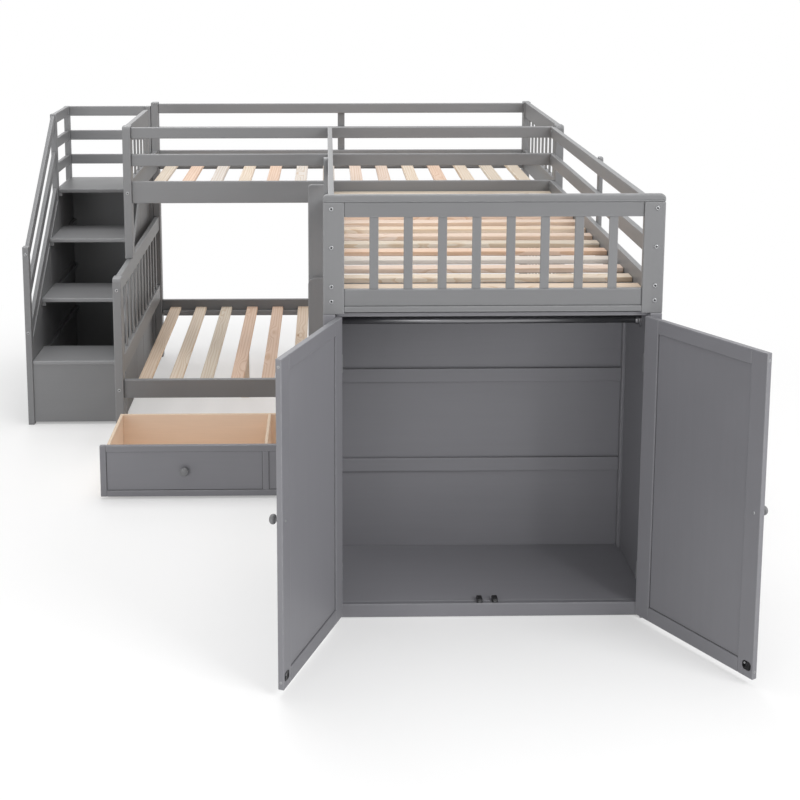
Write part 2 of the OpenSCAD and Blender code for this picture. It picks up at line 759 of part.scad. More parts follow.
module loft_cross_rails() {
    x0 = loft_x0 + stile_w;
    x1 = loft_x1 - stile_w;
    y0 = loft_front + cross_back;
    place() color(paint) {
        difference() {
            union() {
                bar(x0, x1, y0, stile_back, upper_top - cross_top_h, upper_top);
                bar(x0, x1, y0, stile_back, cross_low_z, cross_low_z + cross_low_h);
            }
            for (x = baluster_x)
                bar(x - fit, x + spindle_w + fit, baluster_y - fit, baluster_y + spindle_t + fit,
                    cross_low_z + cross_low_h - mortise - fit,
                    upper_top - cross_top_h + mortise + fit);
        }
        bar(x0, x1, loft_front, stile_back, cross_low_z - strip_h, cross_low_z - seam);
    }
}

module loft_balusters() {
    place() color(paint_dark) for (x = baluster_x)
        bar(x, x + spindle_w, baluster_y, baluster_y + spindle_t,
            cross_low_z + cross_low_h - mortise, upper_top - cross_top_h + mortise);
}

// ---- stairs ----

module stair_posts() {
    place() color(paint) drilled(bolts_stair) {
        board_yz(stair_y0, newel_back, 0, newel_top, stair_x0, tread_x0, [0, 0, 0, 6]);
        bar(tread_x1, stair_x1, stair_y0, newel_back, 0, tread_1_z);
        bar(stair_x0, tread_x0, landing_y, head_back, 0, stair_top);
        for (x = [stair_x0, tread_x1])
            bar(x, x + stair_post_t, rear_post_y, stair_y1, 0, stair_top);
    }
}

function side_top(y) = rail_3_low + hand_slope * (y - landing_y);

module stair_side_boards() {
    y1 = tread_ys[2] - side_gap;
    y2 = tread_ys[2];
    y3 = landing_y - side_gap;
    split = side_gap - 1;
    place() color(paint_dark) for (s = [0, 1]) {
        x0 = side_xs[s];
        x1 = x0 + side_t;
        y4 = s == 0 ? head_back : landing_y;
        slope_yz([[newel_back, side_z0], [y1, side_z0], [y1, side_top(y1)],
            [newel_back, side_top(newel_back)]], x0, x1);
        bar(x0, x1, y2, y3, side_z0, tread_1_z - split);
        slope_yz([[y2, tread_1_z], [y3, tread_1_z], [y3, side_top(y3)], [y2, side_top(y2)]],
            x0, x1);
        bar(x0, x1, y4, rear_post_y, side_z0, tread_1_z - split);
        bar(x0, x1, y4, rear_post_y, tread_1_z, tread_2_z);
        bar(x0, x1, y4, rear_post_y, tread_2_z + split, landing_z);
    }
}

module stair_back_panel() {
    place() color(paint_dark)
        bar(tread_x0, tread_x1, stair_y1 - stair_back_t, stair_y1, side_z0, landing_z - tread_t);
}

module stair_treads() {
    place() color(paint) {
        for (i = [0:2])
            board_yz(tread_ys[i], tread_ys[i] + tread_ds[i], tread_zs[i] - tread_t, tread_zs[i],
                tread_x0, tread_x1, [0, 0, 0, 4]);
        board_yz(landing_y, stair_y1, landing_z - tread_t, landing_z, tread_x0, tread_x1,
            [0, 0, 0, 4]);
    }
}

module stair_riser() {
    place() color(paint)
        bar(tread_x0, tread_x1, stair_y0 + 8, stair_y0 + 24, side_z0, tread_1_z - tread_t);
}

module stair_cleats() {
    y1 = stair_y1 - stair_back_t;
    levels = [[newel_back, tread_1_z], [tread_ys[1] + 8, tread_2_z], [tread_ys[2] + 8, tread_3_z],
        [landing_y + 8, landing_z]];
    place() color(paint_dark) for (l = levels, x = [tread_x0, tread_x1 - cleat])
        bar(x, x + cleat, l[0], y1, l[1] - tread_t - cleat, l[1] - tread_t);
}

module stair_guard_rails() {
    yb = rear_post_y + (stair_post_d - hand_t) / 2;
    place() color(paint) for (i = [0:2]) {
        z1 = stair_top - i * guard_pitch;
        bar(hand_x, hand_x + hand_t, head_back, rear_post_y, z1 - hand_h, z1);
        bar(tread_x0, tread_x1, yb, yb + hand_t, z1 - hand_h, z1);
    }
}

module stair_handrails() {
    place() color(paint) drilled(bolts_stair) for (i = [0:2]) {
        z = stair_top - 3 - i * hand_pitch;
        slope_yz([[newel_back, z - hand_drop - hand_v], [landing_y, z - hand_v], [landing_y, z],
            [newel_back, z - hand_drop]], hand_x, hand_x + hand_t);
    }
}

// ---- wardrobe ----

module wardrobe_posts() {
    place() color(paint) {
        for (x = [loft_x0, ward_in_1])
            bar(x, x + ward_post, ward_y0, ward_y0 + ward_post, 0, ward_z1);
        for (x = [loft_x0, ward_rear_1])
            bar(x, x + ward_rear, ward_y1 - ward_post, ward_y1, 0, ward_z1);
    }
}

module wardrobe_side_panels() {
    place() color(paint_dark) for (x = [ward_panel_x, ward_face_1])
        bar(x, x + ward_panel_t, ward_y0 + ward_post, ward_y1 - ward_post, side_z0,
            ward_z1 - ward_board_t);
}

module wardrobe_back_panel() {
    place() color(paint_dark)
        bar(ward_rear_0, ward_rear_1, ward_back_y, ward_back_y + ward_panel_t, side_z0,
            ward_z1 - ward_board_t);
}

module wardrobe_battens() {
    place() color(paint_dark) {
        for (z = [batten_low_z, batten_high_z])
            bar(ward_rear_0, ward_rear_1, ward_back_y - ward_board_t, ward_back_y,
                z, z + batten_h);
        for (x = [ward_face_0, ward_face_1 - cleat])
            bar(x, x + cleat, ward_y0 + ward_post, ward_y1 - ward_post,
                ward_floor_z - ward_board_t - cleat, ward_floor_z - ward_board_t);
    }
}

module wardrobe_floor() {
    z = ward_floor_z - ward_board_t;
    place() color(paint) translate([0, 0, z]) linear_extrude(ward_board_t) union() {
        translate([ward_face_0, rail_back])
            square([ward_face_1 - ward_face_0, ward_y1 - ward_post - rail_back]);
        translate([ward_rear_0, rail_back])
            square([ward_rear_1 - ward_rear_0, ward_back_y - rail_back]);
    }
}

module wardrobe_bottom_rail() {
    place() color(paint) bar(ward_in_0, ward_in_1, rail_front, rail_back, 2, ward_floor_z);
}

module wardrobe_top_panel() {
    z = ward_z1 - ward_board_t;
    place() color(paint_dark) translate([0, 0, z]) linear_extrude(ward_board_t) union() {
        translate([ward_panel_x, ward_y0 + ward_post])
            square([loft_x1 - loft_x0 - 2 * ward_set, ward_depth - 2 * ward_post]);
        translate([ward_in_0, rail_front])
            square([ward_in_1 - ward_in_0, ward_y0 + ward_post - rail_front]);
        translate([ward_rear_0, ward_y0 + ward_post])
            square([ward_rear_1 - ward_rear_0,
                ward_back_y + ward_panel_t - ward_y0 - ward_post]);
    }
}

module hanging_rod() {
    place() color(zinc) translate([ward_face_0 + 4 + fit, rod_y, rod_z]) rotate([0, 90, 0])
        cylinder(h = ward_face_1 - ward_face_0 - 8 - 2 * fit, r = rod_r, $fn = 32);
}

module rod_flange() {
    cylinder(h = 4, r = rod_r + 13, $fn = 32);
    difference() {
        cylinder(h = 18, r = rod_r + 3, $fn = 32);
        translate([0, 0, 4]) cylinder(h = 15, r = rod_r + fit, $fn = 32);
    }
}

module rod_flanges() {
    place() color(zinc) {
        translate([ward_face_0, rod_y, rod_z]) rotate([0, 90, 0]) rod_flange();
        translate([ward_face_1, rod_y, rod_z]) rotate([0, -90, 0]) rod_flange();
    }
}

module floor_catches() {
    mid = (ward_in_0 + ward_in_1) / 2;
    place() color(black) for (s = [-1, 1])
        translate([mid + s * catch_x, door_back + strike_t + 0.5, ward_floor_z]) {
            bar(-9, 9, 2, 34, 0, 12);
            translate([0, 2, 6]) rotate([90, 0, 0]) cylinder(h = 2, r = 5, $fn = 24);
        }
}

// ---- doors: built shut, then swung open about the hinge pins ----

module hinge_barrels(z, list) {
    for (i = list)
        translate([0, 0, z + i * seg + fit / 2]) cylinder(h = seg - fit, r = knuckle_r, $fn = 24);
}

// one leaf for a hinge whose pin is the z axis, its plate on the side of the given sign
module hinge_leaf(z, list, side) {
    inner = side * (pin_dx - leaf_t);
    outer = side * pin_dx;
    difference() {
        union() {
            hinge_barrels(z, list);
            bar(min(inner, outer), max(inner, outer), pin_dy, leaf_w, z, z + hinge_h);
            for (i = list)
                bar(min(inner, outer), max(inner, outer), pin_r + fit, pin_dy + 1,
                    z + i * seg + fit / 2, z + (i + 1) * seg - fit / 2);
        }
        translate([0, 0, z - 1]) cylinder(h = hinge_h + 2, r = pin_r + fit, $fn = 24);
    }
}

module hinge_post_leaves() {
    place() color(zinc) for (s = [0, 1], z = hinge_zs)
        translate([pin_x[s], pin_y, 0]) hinge_leaf(z, [0, 2, 4], s == 0 ? -1 : 1);
}

module hinge_pins() {
    place() color(zinc) for (x = pin_x, z = hinge_zs) translate([x, pin_y, z]) {
        cylinder(h = hinge_h + fit, r = pin_r, $fn = 20);
        translate([0, 0, hinge_h + fit]) cylinder(h = 1.6, r = knuckle_r - 0.6, $fn = 20);
    }
}

module swung(s) {
    angle = s == 0 ? -left_open : right_open;
    place() translate([pin_x[s], pin_y, 0]) rotate([0, 0, angle]) children();
}

// the shut left door beside its pin; the right one is the same turned over by the caller
module door_boards() {
    x0 = pin_dx;
    x1 = x0 + door_w;
    y0 = pin_dy;
    y1 = y0 + door_t;
    xa = x0 + door_stile;
    xb = x1 - door_stile;
    za = door_z + door_rail;
    zb = door_z + door_h - door_rail;
    yp = y0 + (door_t - panel_t) / 2;
    difference() {
        union() {
            bar(x0, xa, y0, y1, door_z, door_z + door_h);
            bar(xb, x1, y0, y1, door_z, door_z + door_h);
            bar(xa + seam, xb - seam, y0, y1, door_z, za);
            bar(xa + seam, xb - seam, y0, y1, zb, door_z + door_h);
        }
        bar(xa - groove - fit, xb + groove + fit, yp - fit, yp + panel_t + fit,
            za - groove - fit, zb + groove + fit);
    }
    bar(xa - groove, xb + groove, yp, yp + panel_t, za - groove, zb + groove);
}

knob_shape = [[0, 0], [0.6, 0], [0.6, 0.06], [0.36, 0.16], [0.36, 0.32], [0.8, 0.46],
    [1, 0.6], [1, 0.74], [0.84, 0.88], [0.55, 1], [0, 1]];

module knob(r, long) {
    rotate([90, 0, 0]) rotate_extrude($fn = 28)
        polygon([for (p = knob_shape) [p[0] * r, p[1] * long]]);
}

module door_knob_at(s) {
    swung(s) translate([(1 - 2 * s) * (pin_dx + door_w - door_knob_x), pin_dy, door_knob_z])
        knob(door_knob_r, door_knob_len);
}

module door_hardware(s) {
    side = 1 - 2 * s;
    x = side * (pin_dx + door_w + door_gap / 2 - catch_x);
    swung(s) {
        for (z = hinge_zs) hinge_leaf(z, [1, 3], side);
        bar(x - strike_w / 2, x + strike_w / 2, pin_dy + door_t, pin_dy + door_t + strike_t,
            ward_floor_z, ward_floor_z + strike_h);
    }
}

module left_door() {
    color(paint) swung(0) door_boards();
}

module left_door_knob() {
    color(paint) door_knob_at(0);
}

module left_door_hardware() {
    color(zinc) door_hardware(0);
}

module right_door() {
    color(paint) swung(1) mirror([1, 0, 0]) door_boards();
}

module right_door_knob() {
    color(paint) door_knob_at(1);
}

module right_door_hardware() {
    color(zinc) door_hardware(1);
}

// ---- drawer unit ----

module drawer_front_frame() {
    y0 = drawer_face;
    y1 = drawer_back_face;
    x1 = drawer_x0 + drawer_len;
    za = drawer_z + drawer_rail_low;
    zb = drawer_top - drawer_rail_top;
    yp = y0 + (drawer_t - panel_t) / 2;
    place() color(paint) difference() {
        union() {
            bar(drawer_x0, drawer_x0 + drawer_stile, y0, y1, drawer_z, drawer_top);
            bar(x1 - drawer_stile, x1, y0, y1, drawer_z, drawer_top);
            for (z = [[drawer_z, za], [zb, drawer_top]])
                bar(drawer_x0 + drawer_stile + seam, x1 - drawer_stile - seam, y0, y1, z[0], z[1]);
            for (i = [1, 2])
                bar(drawer_x0 + i * drawer_step, drawer_x0 + i * drawer_step + drawer_stile,
                    y0, y1, za + seam, zb - seam);
        }
        for (i = [0:2])
            bar(drawer_x0 + i * drawer_step + drawer_stile - groove - fit,
                drawer_x0 + (i + 1) * drawer_step + groove + fit, yp - fit, yp + panel_t + fit,
                za - groove - fit, zb + groove + fit);
    }
}

module drawer_front_panels() {
    yp = drawer_face + (drawer_t - panel_t) / 2;
    place() color(paint) for (i = [0:2])
        bar(drawer_x0 + i * drawer_step + drawer_stile - groove,
            drawer_x0 + (i + 1) * drawer_step + groove, yp, yp + panel_t,
            drawer_z + drawer_rail_low - groove, drawer_top - drawer_rail_top + groove);
}

module drawer_box() {
    y0 = drawer_back_face;
    place() color(ply) {
        for (x = [box_x0, box_x1 - box_t]) bar(x, x + box_t, y0, drawer_end, box_z, box_top);
        for (y = [y0, drawer_end - box_t])
            bar(box_x0 + box_t + seam, box_x1 - box_t - seam, y, y + box_t, box_z, box_top);
        for (i = [1, 2]) {
            x = drawer_x0 + i * drawer_step + drawer_stile / 2;
            bar(x - box_t / 2, x + box_t / 2, y0 + box_t + seam, drawer_end - box_t - seam,
                bottom_z + bottom_t + seam, box_top);
        }
        bar(box_x0 + box_t + seam, box_x1 - box_t - seam, y0 + box_t + seam,
            drawer_end - box_t - seam, bottom_z, bottom_z + bottom_t);
    }
}

module drawer_knobs() {
    yp = drawer_face + (drawer_t - panel_t) / 2;
    z = (drawer_z + drawer_rail_low + drawer_top - drawer_rail_top) / 2;
    place() color(paint) for (i = [0:2])
        translate([drawer_x0 + drawer_stile + drawer_panel_w / 2 + i * drawer_step, yp, z])
            knob(drawer_knob_r, drawer_knob_len);
}

module wheel_brackets() {
    half = wheel_w / 2 + wheel_gap;
    place() color(zinc) for (x = wheel_xs, y = wheel_ys) translate([x, y, 0]) {
        for (s = [-1, 1])
            bar(min(s * half, s * (half + 3)), max(s * half, s * (half + 3)), -12, 12,
                wheel_r - 8, bottom_z);
        translate([-half - 3, 0, wheel_r]) rotate([0, 90, 0])
            cylinder(h = 2 * half + 6, r = axle_r, $fn = 20);
    }
}

module wheel_row(y) {
    place() color(black) for (x = wheel_xs)
        translate([x - wheel_w / 2, y, wheel_r]) rotate([0, 90, 0]) difference() {
            cylinder(h = wheel_w, r = wheel_r, $fn = 40);
            translate([0, 0, -1]) cylinder(h = wheel_w + 2, r = axle_r + fit, $fn = 20);
        }
}

module drawer_wheels_front() {
    wheel_row(wheel_ys[0]);
}

module drawer_wheels_back() {
    wheel_row(wheel_ys[1]);
}

module bed_bolts() {
    place() color(zinc) for (b = bolts_all) bolt(b);
}

lower_end_posts();
lower_end_rails();
lower_end_spindles();
stack_dowels();
upper_end_posts();
upper_end_boards();
upper_end_spindles();
lower_bed_rails();
lower_slats();
center_support();
slat_ledgers();
upper_bed_rails();
upper_slats();
front_guard_rails();
back_guard_rails();
guard_mid_posts();
mid_support_lower();
mid_support_upper();
loft_side_rails();
loft_end_rail();
loft_slats();
loft_guard_rails();
loft_stiles();
loft_cap();
loft_cross_rails();
loft_balusters();
stair_posts();
stair_side_boards();
stair_back_panel();
stair_treads();
stair_riser();
stair_cleats();
stair_guard_rails();
stair_handrails();
wardrobe_posts();
wardrobe_side_panels();
wardrobe_back_panel();
wardrobe_battens();
wardrobe_floor();
wardrobe_bottom_rail();
wardrobe_top_panel();
hanging_rod();
rod_flanges();
floor_catches();
hinge_post_leaves();
hinge_pins();
bed_bolts();
drawer_front_frame();
drawer_front_panels();
drawer_box();
drawer_knobs();
wheel_brackets();
drawer_wheels_front();
drawer_wheels_back();
left_door();
left_door_knob();
left_door_hardware();
right_door();
right_door_knob();
right_door_hardware();
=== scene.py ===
import json
import math

import bpy
import numpy as np
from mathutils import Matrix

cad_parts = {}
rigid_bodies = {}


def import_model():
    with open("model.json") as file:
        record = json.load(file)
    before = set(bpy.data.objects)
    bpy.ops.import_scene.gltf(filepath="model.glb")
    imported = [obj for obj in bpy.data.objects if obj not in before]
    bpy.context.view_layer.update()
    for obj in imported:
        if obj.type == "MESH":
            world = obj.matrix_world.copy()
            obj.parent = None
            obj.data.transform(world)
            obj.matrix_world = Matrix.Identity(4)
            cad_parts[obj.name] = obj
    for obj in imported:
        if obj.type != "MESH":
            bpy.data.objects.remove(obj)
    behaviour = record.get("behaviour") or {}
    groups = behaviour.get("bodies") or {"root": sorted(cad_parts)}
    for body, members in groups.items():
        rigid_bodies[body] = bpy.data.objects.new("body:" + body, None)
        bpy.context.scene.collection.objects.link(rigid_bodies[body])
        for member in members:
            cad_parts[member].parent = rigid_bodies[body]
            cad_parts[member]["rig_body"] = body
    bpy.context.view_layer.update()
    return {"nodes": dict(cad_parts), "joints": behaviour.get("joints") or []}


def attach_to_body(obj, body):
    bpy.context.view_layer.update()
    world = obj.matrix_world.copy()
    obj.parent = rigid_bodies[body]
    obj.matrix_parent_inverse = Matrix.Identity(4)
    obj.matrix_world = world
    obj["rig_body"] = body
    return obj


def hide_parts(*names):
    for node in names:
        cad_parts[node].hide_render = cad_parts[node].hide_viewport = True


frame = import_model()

nodes = frame["nodes"]
joints = {joint["name"]: joint for joint in frame["joints"]}
bodyOf = {name: piece["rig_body"] for name, piece in nodes.items()}
dice = np.random.default_rng(7)
print("frame loaded with", len(nodes), "nodes")


def attach(tree, slot, value):  # a wire is linked, anything else is the socket's own value
    if isinstance(value, Wire):
        tree.links.new(value.socket, slot)
    else:
        slot.default_value = value


class Wire:  # one output socket; sums on it add Math nodes
    def __init__(self, tree, socket):
        self.tree, self.socket = tree, socket

    def join(self, operation, first, second):
        node = self.tree.nodes.new("ShaderNodeMath")
        node.operation = operation
        attach(self.tree, node.inputs[0], first)
        attach(self.tree, node.inputs[1], second)
        return Wire(self.tree, node.outputs[0])

    def __add__(self, other):
        return self.join("ADD", self, other)

    def __radd__(self, other):
        return self.join("ADD", other, self)

    def __sub__(self, other):
        return self.join("SUBTRACT", self, other)

    def __rsub__(self, other):
        return self.join("SUBTRACT", other, self)

    def __mul__(self, other):
        return self.join("MULTIPLY", self, other)

    def __rmul__(self, other):
        return self.join("MULTIPLY", other, self)


class Finish:  # a material under construction
    def __init__(self, name, metallic=0.0, coat=0.0):
        self.material = bpy.data.materials.new(name)
        self.material.use_nodes = True
        self.tree = self.material.node_tree
        self.shader = self.tree.nodes["Principled BSDF"]
        self.shader.inputs["Metallic"].default_value = metallic
        self.shader.inputs["Coat Weight"].default_value = coat

    def add(self, kind, settings=None, sockets=None, out=0):
        node = self.tree.nodes.new(kind)
        for key, value in (settings or {}).items():
            setattr(node, key, value)
        for key, value in (sockets or {}).items():
            attach(self.tree, node.inputs[key], value)
        return Wire(self.tree, node.outputs[out])

    def attribute(self, name, out="Vector"):
        return self.add("ShaderNodeAttribute", {"attribute_name": name}, out=out)

    def stretched(self, vector, scale):
        return self.add("ShaderNodeMapping", {}, {"Vector": vector, "Scale": scale})

    def noise(self, vector, scale=1.0, detail=2.0, rough=0.5):
        return self.add("ShaderNodeTexNoise", {},
                        {"Vector": vector, "Scale": scale, "Detail": detail, "Roughness": rough})

    def window(self, value, low, high, outLow=0.0, outHigh=1.0):
        return self.add("ShaderNodeMapRange", {"clamp": True, "interpolation_type": "SMOOTHSTEP"},
                        {"Value": value, 1: low, 2: high, 3: outLow, 4: outHigh})

    def mixed(self, factor, first, second, mode="MIX"):
        return self.add("ShaderNodeMix", {"data_type": "RGBA", "blend_type": mode},
                        {0: factor, 6: first, 7: second}, out=2)

    def scaled(self, color, factor):
        return self.add("ShaderNodeVectorMath", {"operation": "SCALE"},
                        {0: color, "Scale": factor})

    def moved(self, vector, step):
        return self.add("ShaderNodeVectorMath", {"operation": "ADD"}, {0: vector, 1: step})

    def finish(self, color, roughness, height=None, strength=0.2, distance=0.001):
        attach(self.tree, self.shader.inputs["Base Color"], color)
        attach(self.tree, self.shader.inputs["Roughness"], roughness)
        if height is not None:
            bump = self.add("ShaderNodeBump", {},
                            {"Height": height, "Strength": strength, "Distance": distance})
            attach(self.tree, self.shader.inputs["Normal"], bump)
        return self.material


paint = {
    "worn": (0.36, 0.365, 0.375, 1),  # an edge's colour: paint worn thin over the primer, and a painted highlight along every eased edge
    "edgeShare": 0.34,
    "rubbed": (0.44, 0.66),  # noise between which an edge goes from whole to rubbed
    "coat": 0.06,
    "coatRoughness": 0.35,
    "brush": (5, 160, 160),  # strokes along the board
    "grain": (16, 420, 420),  # wood that shows through the film
    "streak": (1.6, 34, 34),  # broad soft bands
    "roughness": 0.43,
    "bump": 0.17,
    "relief": 0.0008,
}


def paintedWood(name="satinGreyPaint"):
    f = Finish(name, coat=paint["coat"])
    f.shader.inputs["Coat Roughness"].default_value = paint["coatRoughness"]
    co = f.attribute("grainCo")
    brush = f.noise(f.stretched(co, paint["brush"]), 1, 3, 0.55)
    grain = f.noise(f.stretched(co, paint["grain"]), 1, 2)
    streak = f.noise(f.stretched(co, paint["streak"]), 1, 3, 0.6)
    cloud = f.noise(co, 4.0, 2)
    shade = 0.90 + 0.09 * cloud + 0.05 * brush + 0.06 * streak
    base = f.scaled(f.attribute("boardColor", "Color"), shade)
    rub = f.window(f.noise(co, 26.0, 3) * 0.7 + f.noise(co, 150.0, 1) * 0.3, *paint["rubbed"])
    # Worn paint and painted highlight: every eased edge is made paler everywhere, and more where
    # the noise rubs it
    edge = f.attribute("edgeWear", "Fac") * (0.35 + 0.65 * rub) * paint["edgeShare"]
    color = f.mixed(edge, base, paint["worn"])
    roughness = paint["roughness"] + 0.14 * (cloud - 0.5) + 0.06 * (brush - 0.5)
    return f.finish(color, roughness, brush * 0.55 + grain * 0.45, paint["bump"],
                    paint["relief"])


pine = {
    "late": (0.80, 0.68, 0.55, 1),  # late wood as a share of early wood
    "knot": (0.27, 0.15, 0.075, 1),
    "halo": (0.80, 0.66, 0.50, 1),
    "knotReach": (0.050, 0.110),  # of a knot and of the darker wood round it
    "heart": 0.55,  # a knot's solid middle as a share of its reach
    "knotCells": (2.4, 11, 11),
    "swell": 0.030,  # how far the rings bend aside at a knot
    "rings": (1.1, 30, 30),
    "fibre": (14, 520, 520),
    "cloud": (2.0, 9, 9),
    "fresh": 0.28,  # painted light: how much paler the boards' sides are made, for the light that falls on them
    "bump": 0.20,
    "relief": 0.0007,
}


def pineWood(name="sandedPine"):
    f = Finish(name)
    co = f.attribute("grainCo")
    cell = f.add("ShaderNodeTexVoronoi", {},
                 {"Vector": f.stretched(co, pine["knotCells"]), "Scale": 1.0, "Randomness": 1.0})
    swell = f.window(cell, 0.04, 0.42, pine["swell"], 0.0)  # rings run round a knot
    shift = f.add("ShaderNodeCombineXYZ", {}, {"Y": swell, "Z": swell})
    flow = f.stretched(f.moved(co, shift), pine["rings"])
    rings = f.add("ShaderNodeTexWave", {"bands_direction": "Y", "wave_profile": "SAW"},
                  {"Vector": flow, "Scale": 0.85, "Distortion": 4.5, "Detail": 2.0,
                   "Detail Scale": 1.4}, out="Fac")
    fibre = f.noise(f.stretched(co, pine["fibre"]), 1, 2)
    cloud = f.noise(f.stretched(co, pine["cloud"]), 1, 2)
    base = f.attribute("boardColor", "Color")
    late = f.mixed(1.0, base, pine["late"], "MULTIPLY")
    wood = f.mixed(f.window(rings, 0.45, 0.97) * 0.72 + fibre * 0.14, base, late)
    knotEnd, haloEnd = pine["knotReach"]
    halo = f.window(cell, knotEnd, haloEnd, 1.0, 0.0)
    wood = f.mixed(halo * 0.55, wood, f.mixed(1.0, wood, pine["halo"], "MULTIPLY"))
    heart = f.window(cell, knotEnd * pine["heart"], knotEnd, 1.0, 0.0)
    wood = f.mixed(heart * 0.8, wood, pine["knot"])
    # Painted light: the sides of each pine board are made paler
    fresh = 1.0 + pine["fresh"] * f.attribute("sideFace", "Fac")
    color = f.scaled(wood, (0.89 + 0.21 * cloud) * fresh)
    return f.finish(color, 0.60 + 0.10 * (fibre - 0.5), rings * 0.3 + fibre * 0.7, pine["bump"],
                    pine["relief"])


plywood = {
    "fibre": (9, 260, 260),
    "figure": (2.2, 16, 16),
    "layers": 2600,  # radians for each metre of thickness, so a pair of layers every 2.4 mm
    "pale": (0.82, 0.69, 0.53, 1),
    "dark": (0.56, 0.41, 0.28, 1),
    "cutShare": 0.7,  # how much of the layers shows on a sawn edge
}


def plyWood(name="barePlywood"):
    f = Finish(name)
    co = f.attribute("grainCo")
    fibre = f.noise(f.stretched(co, plywood["fibre"]), 1, 3)
    figure = f.noise(f.stretched(co, plywood["figure"]), 1, 3, 0.6)
    base = f.attribute("boardColor", "Color")
    face = f.scaled(base, 0.87 + 0.18 * figure + 0.08 * fibre)
    depth = f.add("ShaderNodeSeparateXYZ", {}, {0: co}, out="Z")
    phase = depth * plywood["layers"]
    layer = f.window(phase.join("SINE", phase, 0.0), -0.2, 0.5)
    cut = f.mixed(layer, plywood["pale"], plywood["dark"])
    color = f.mixed(f.attribute("sideFace", "Fac") * plywood["cutShare"], face, cut)
    return f.finish(color, 0.62 + 0.08 * (fibre - 0.5), fibre, 0.14, 0.0006)


def platedSteel(name="zincPlate"):
    f = Finish(name, metallic=1.0)
    co = f.attribute("grainCo")
    mottle = f.noise(co, 240.0, 3)
    scratch = f.noise(f.stretched(co, (40, 900, 900)), 1, 2)
    color = f.scaled(f.attribute("boardColor", "Color"), 0.86 + 0.18 * mottle + 0.10 * scratch)
    return f.finish(color, 0.28 + 0.16 * mottle, scratch, 0.06, 0.0003)


def blackPlastic(name="blackPlastic"):
    f = Finish(name)
    co = f.attribute("grainCo")
    grain = f.noise(co, 900.0, 2)
    color = f.scaled(f.attribute("boardColor", "Color"), 0.75 + 0.5 * grain)
    return f.finish(color, 0.44 + 0.12 * grain, grain, 0.10, 0.0003)


finishes = {"paint": paintedWood(), "pine": pineWood(), "ply": plyWood(), "steel": platedSteel(),
            "black": blackPlastic()}
print("finishes made:", len(finishes))


def nodeSolids(name):  # welded points and triangles of each closed solid in one node
    mesh = nodes[name].data
    points = np.empty(len(mesh.vertices) * 3, np.float32)
    mesh.vertices.foreach_get("co", points)
    mesh.calc_loop_triangles()
    corners = np.empty(len(mesh.loop_triangles) * 3, np.int32)
    mesh.loop_triangles.foreach_get("vertices", corners)
    points, weld = np.unique(np.round(points.reshape(-1, 3).astype(float), 6), axis=0,
                             return_inverse=True)
    triangles = weld.ravel()[corners].reshape(-1, 3)
    label = np.arange(len(points))
    while True:  # every point takes the lowest label that any of its triangles holds
        low = label[triangles].min(axis=1)
        fresh = label.copy()
        np.minimum.at(fresh, triangles.ravel(), np.repeat(low, 3))
        fresh = fresh[fresh]
        if np.array_equal(fresh, label):
            break
        label = fresh
    owner = label[triangles[:, 0]]
    solids = []
    for k in np.unique(owner):
        used, inside = np.unique(triangles[owner == k], return_inverse=True)
        solids.append((points[used], inside.reshape(-1, 3)))
    return solids


def boxOf(points):
    return points.min(axis=0), points.max(axis=0)


def rimOf(points, triangles, axes, thin, level):
    # Edges that only one triangle of the flat face uses, joined end to end. The widest chain is
    # the outline; it is turned counter-clockwise and loses its points on straight runs.
    flat = triangles[(np.abs(points[triangles, thin] - level) < 1e-5).all(axis=1)]
    edges = np.concatenate([flat[:, [0, 1]], flat[:, [1, 2]], flat[:, [2, 0]]])
    _, first, uses = np.unique(np.sort(edges, axis=1), axis=0, return_index=True,
                               return_counts=True)
    after = dict(edges[first[uses == 1]].tolist())
    chains = []
    while after:
        start, here = after.popitem()
        chain = [start]
        while here != start:
            chain.append(here)
            here = after.pop(here)
        chains.append(points[chain][:, axes])
    outline = max(chains, key=lambda chain: np.ptp(chain, axis=0).prod())
    ahead = np.roll(outline, -1, axis=0)
    if (outline[:, 0] * ahead[:, 1] - outline[:, 1] * ahead[:, 0]).sum() < 0:
        outline = outline[::-1]
    ahead = np.roll(outline, -1, axis=0) - outline
    ahead = ahead / np.linalg.norm(ahead, axis=1)[:, None]
    behind = np.roll(ahead, 1, axis=0)
    bend = behind[:, 0] * ahead[:, 1] - behind[:, 1] * ahead[:, 0]
    return outline[np.abs(bend) > 1e-3]


easing = {
    "inset": 0.003,  # from an edge to where its wear and painted highlight end, in metres
    "insetMost": 0.4,  # and at most this share of half the thickness
    "cornerRadius": 1.3,  # a corner's radius as a share of its edge's
    "cornerMost": 0.4,  # and at most this share of the shorter side beside it
    "cornerSteps": 4,
    "edgeAngles": (90, 60, 30, 0),
    "sideMost": 0.46,  # the share of a side that one corner's points may take
    "wear": (0, 0.6, 1, 1, 0.6, 0.0),  # across an eased edge or corner: worn paint and painted highlight
}


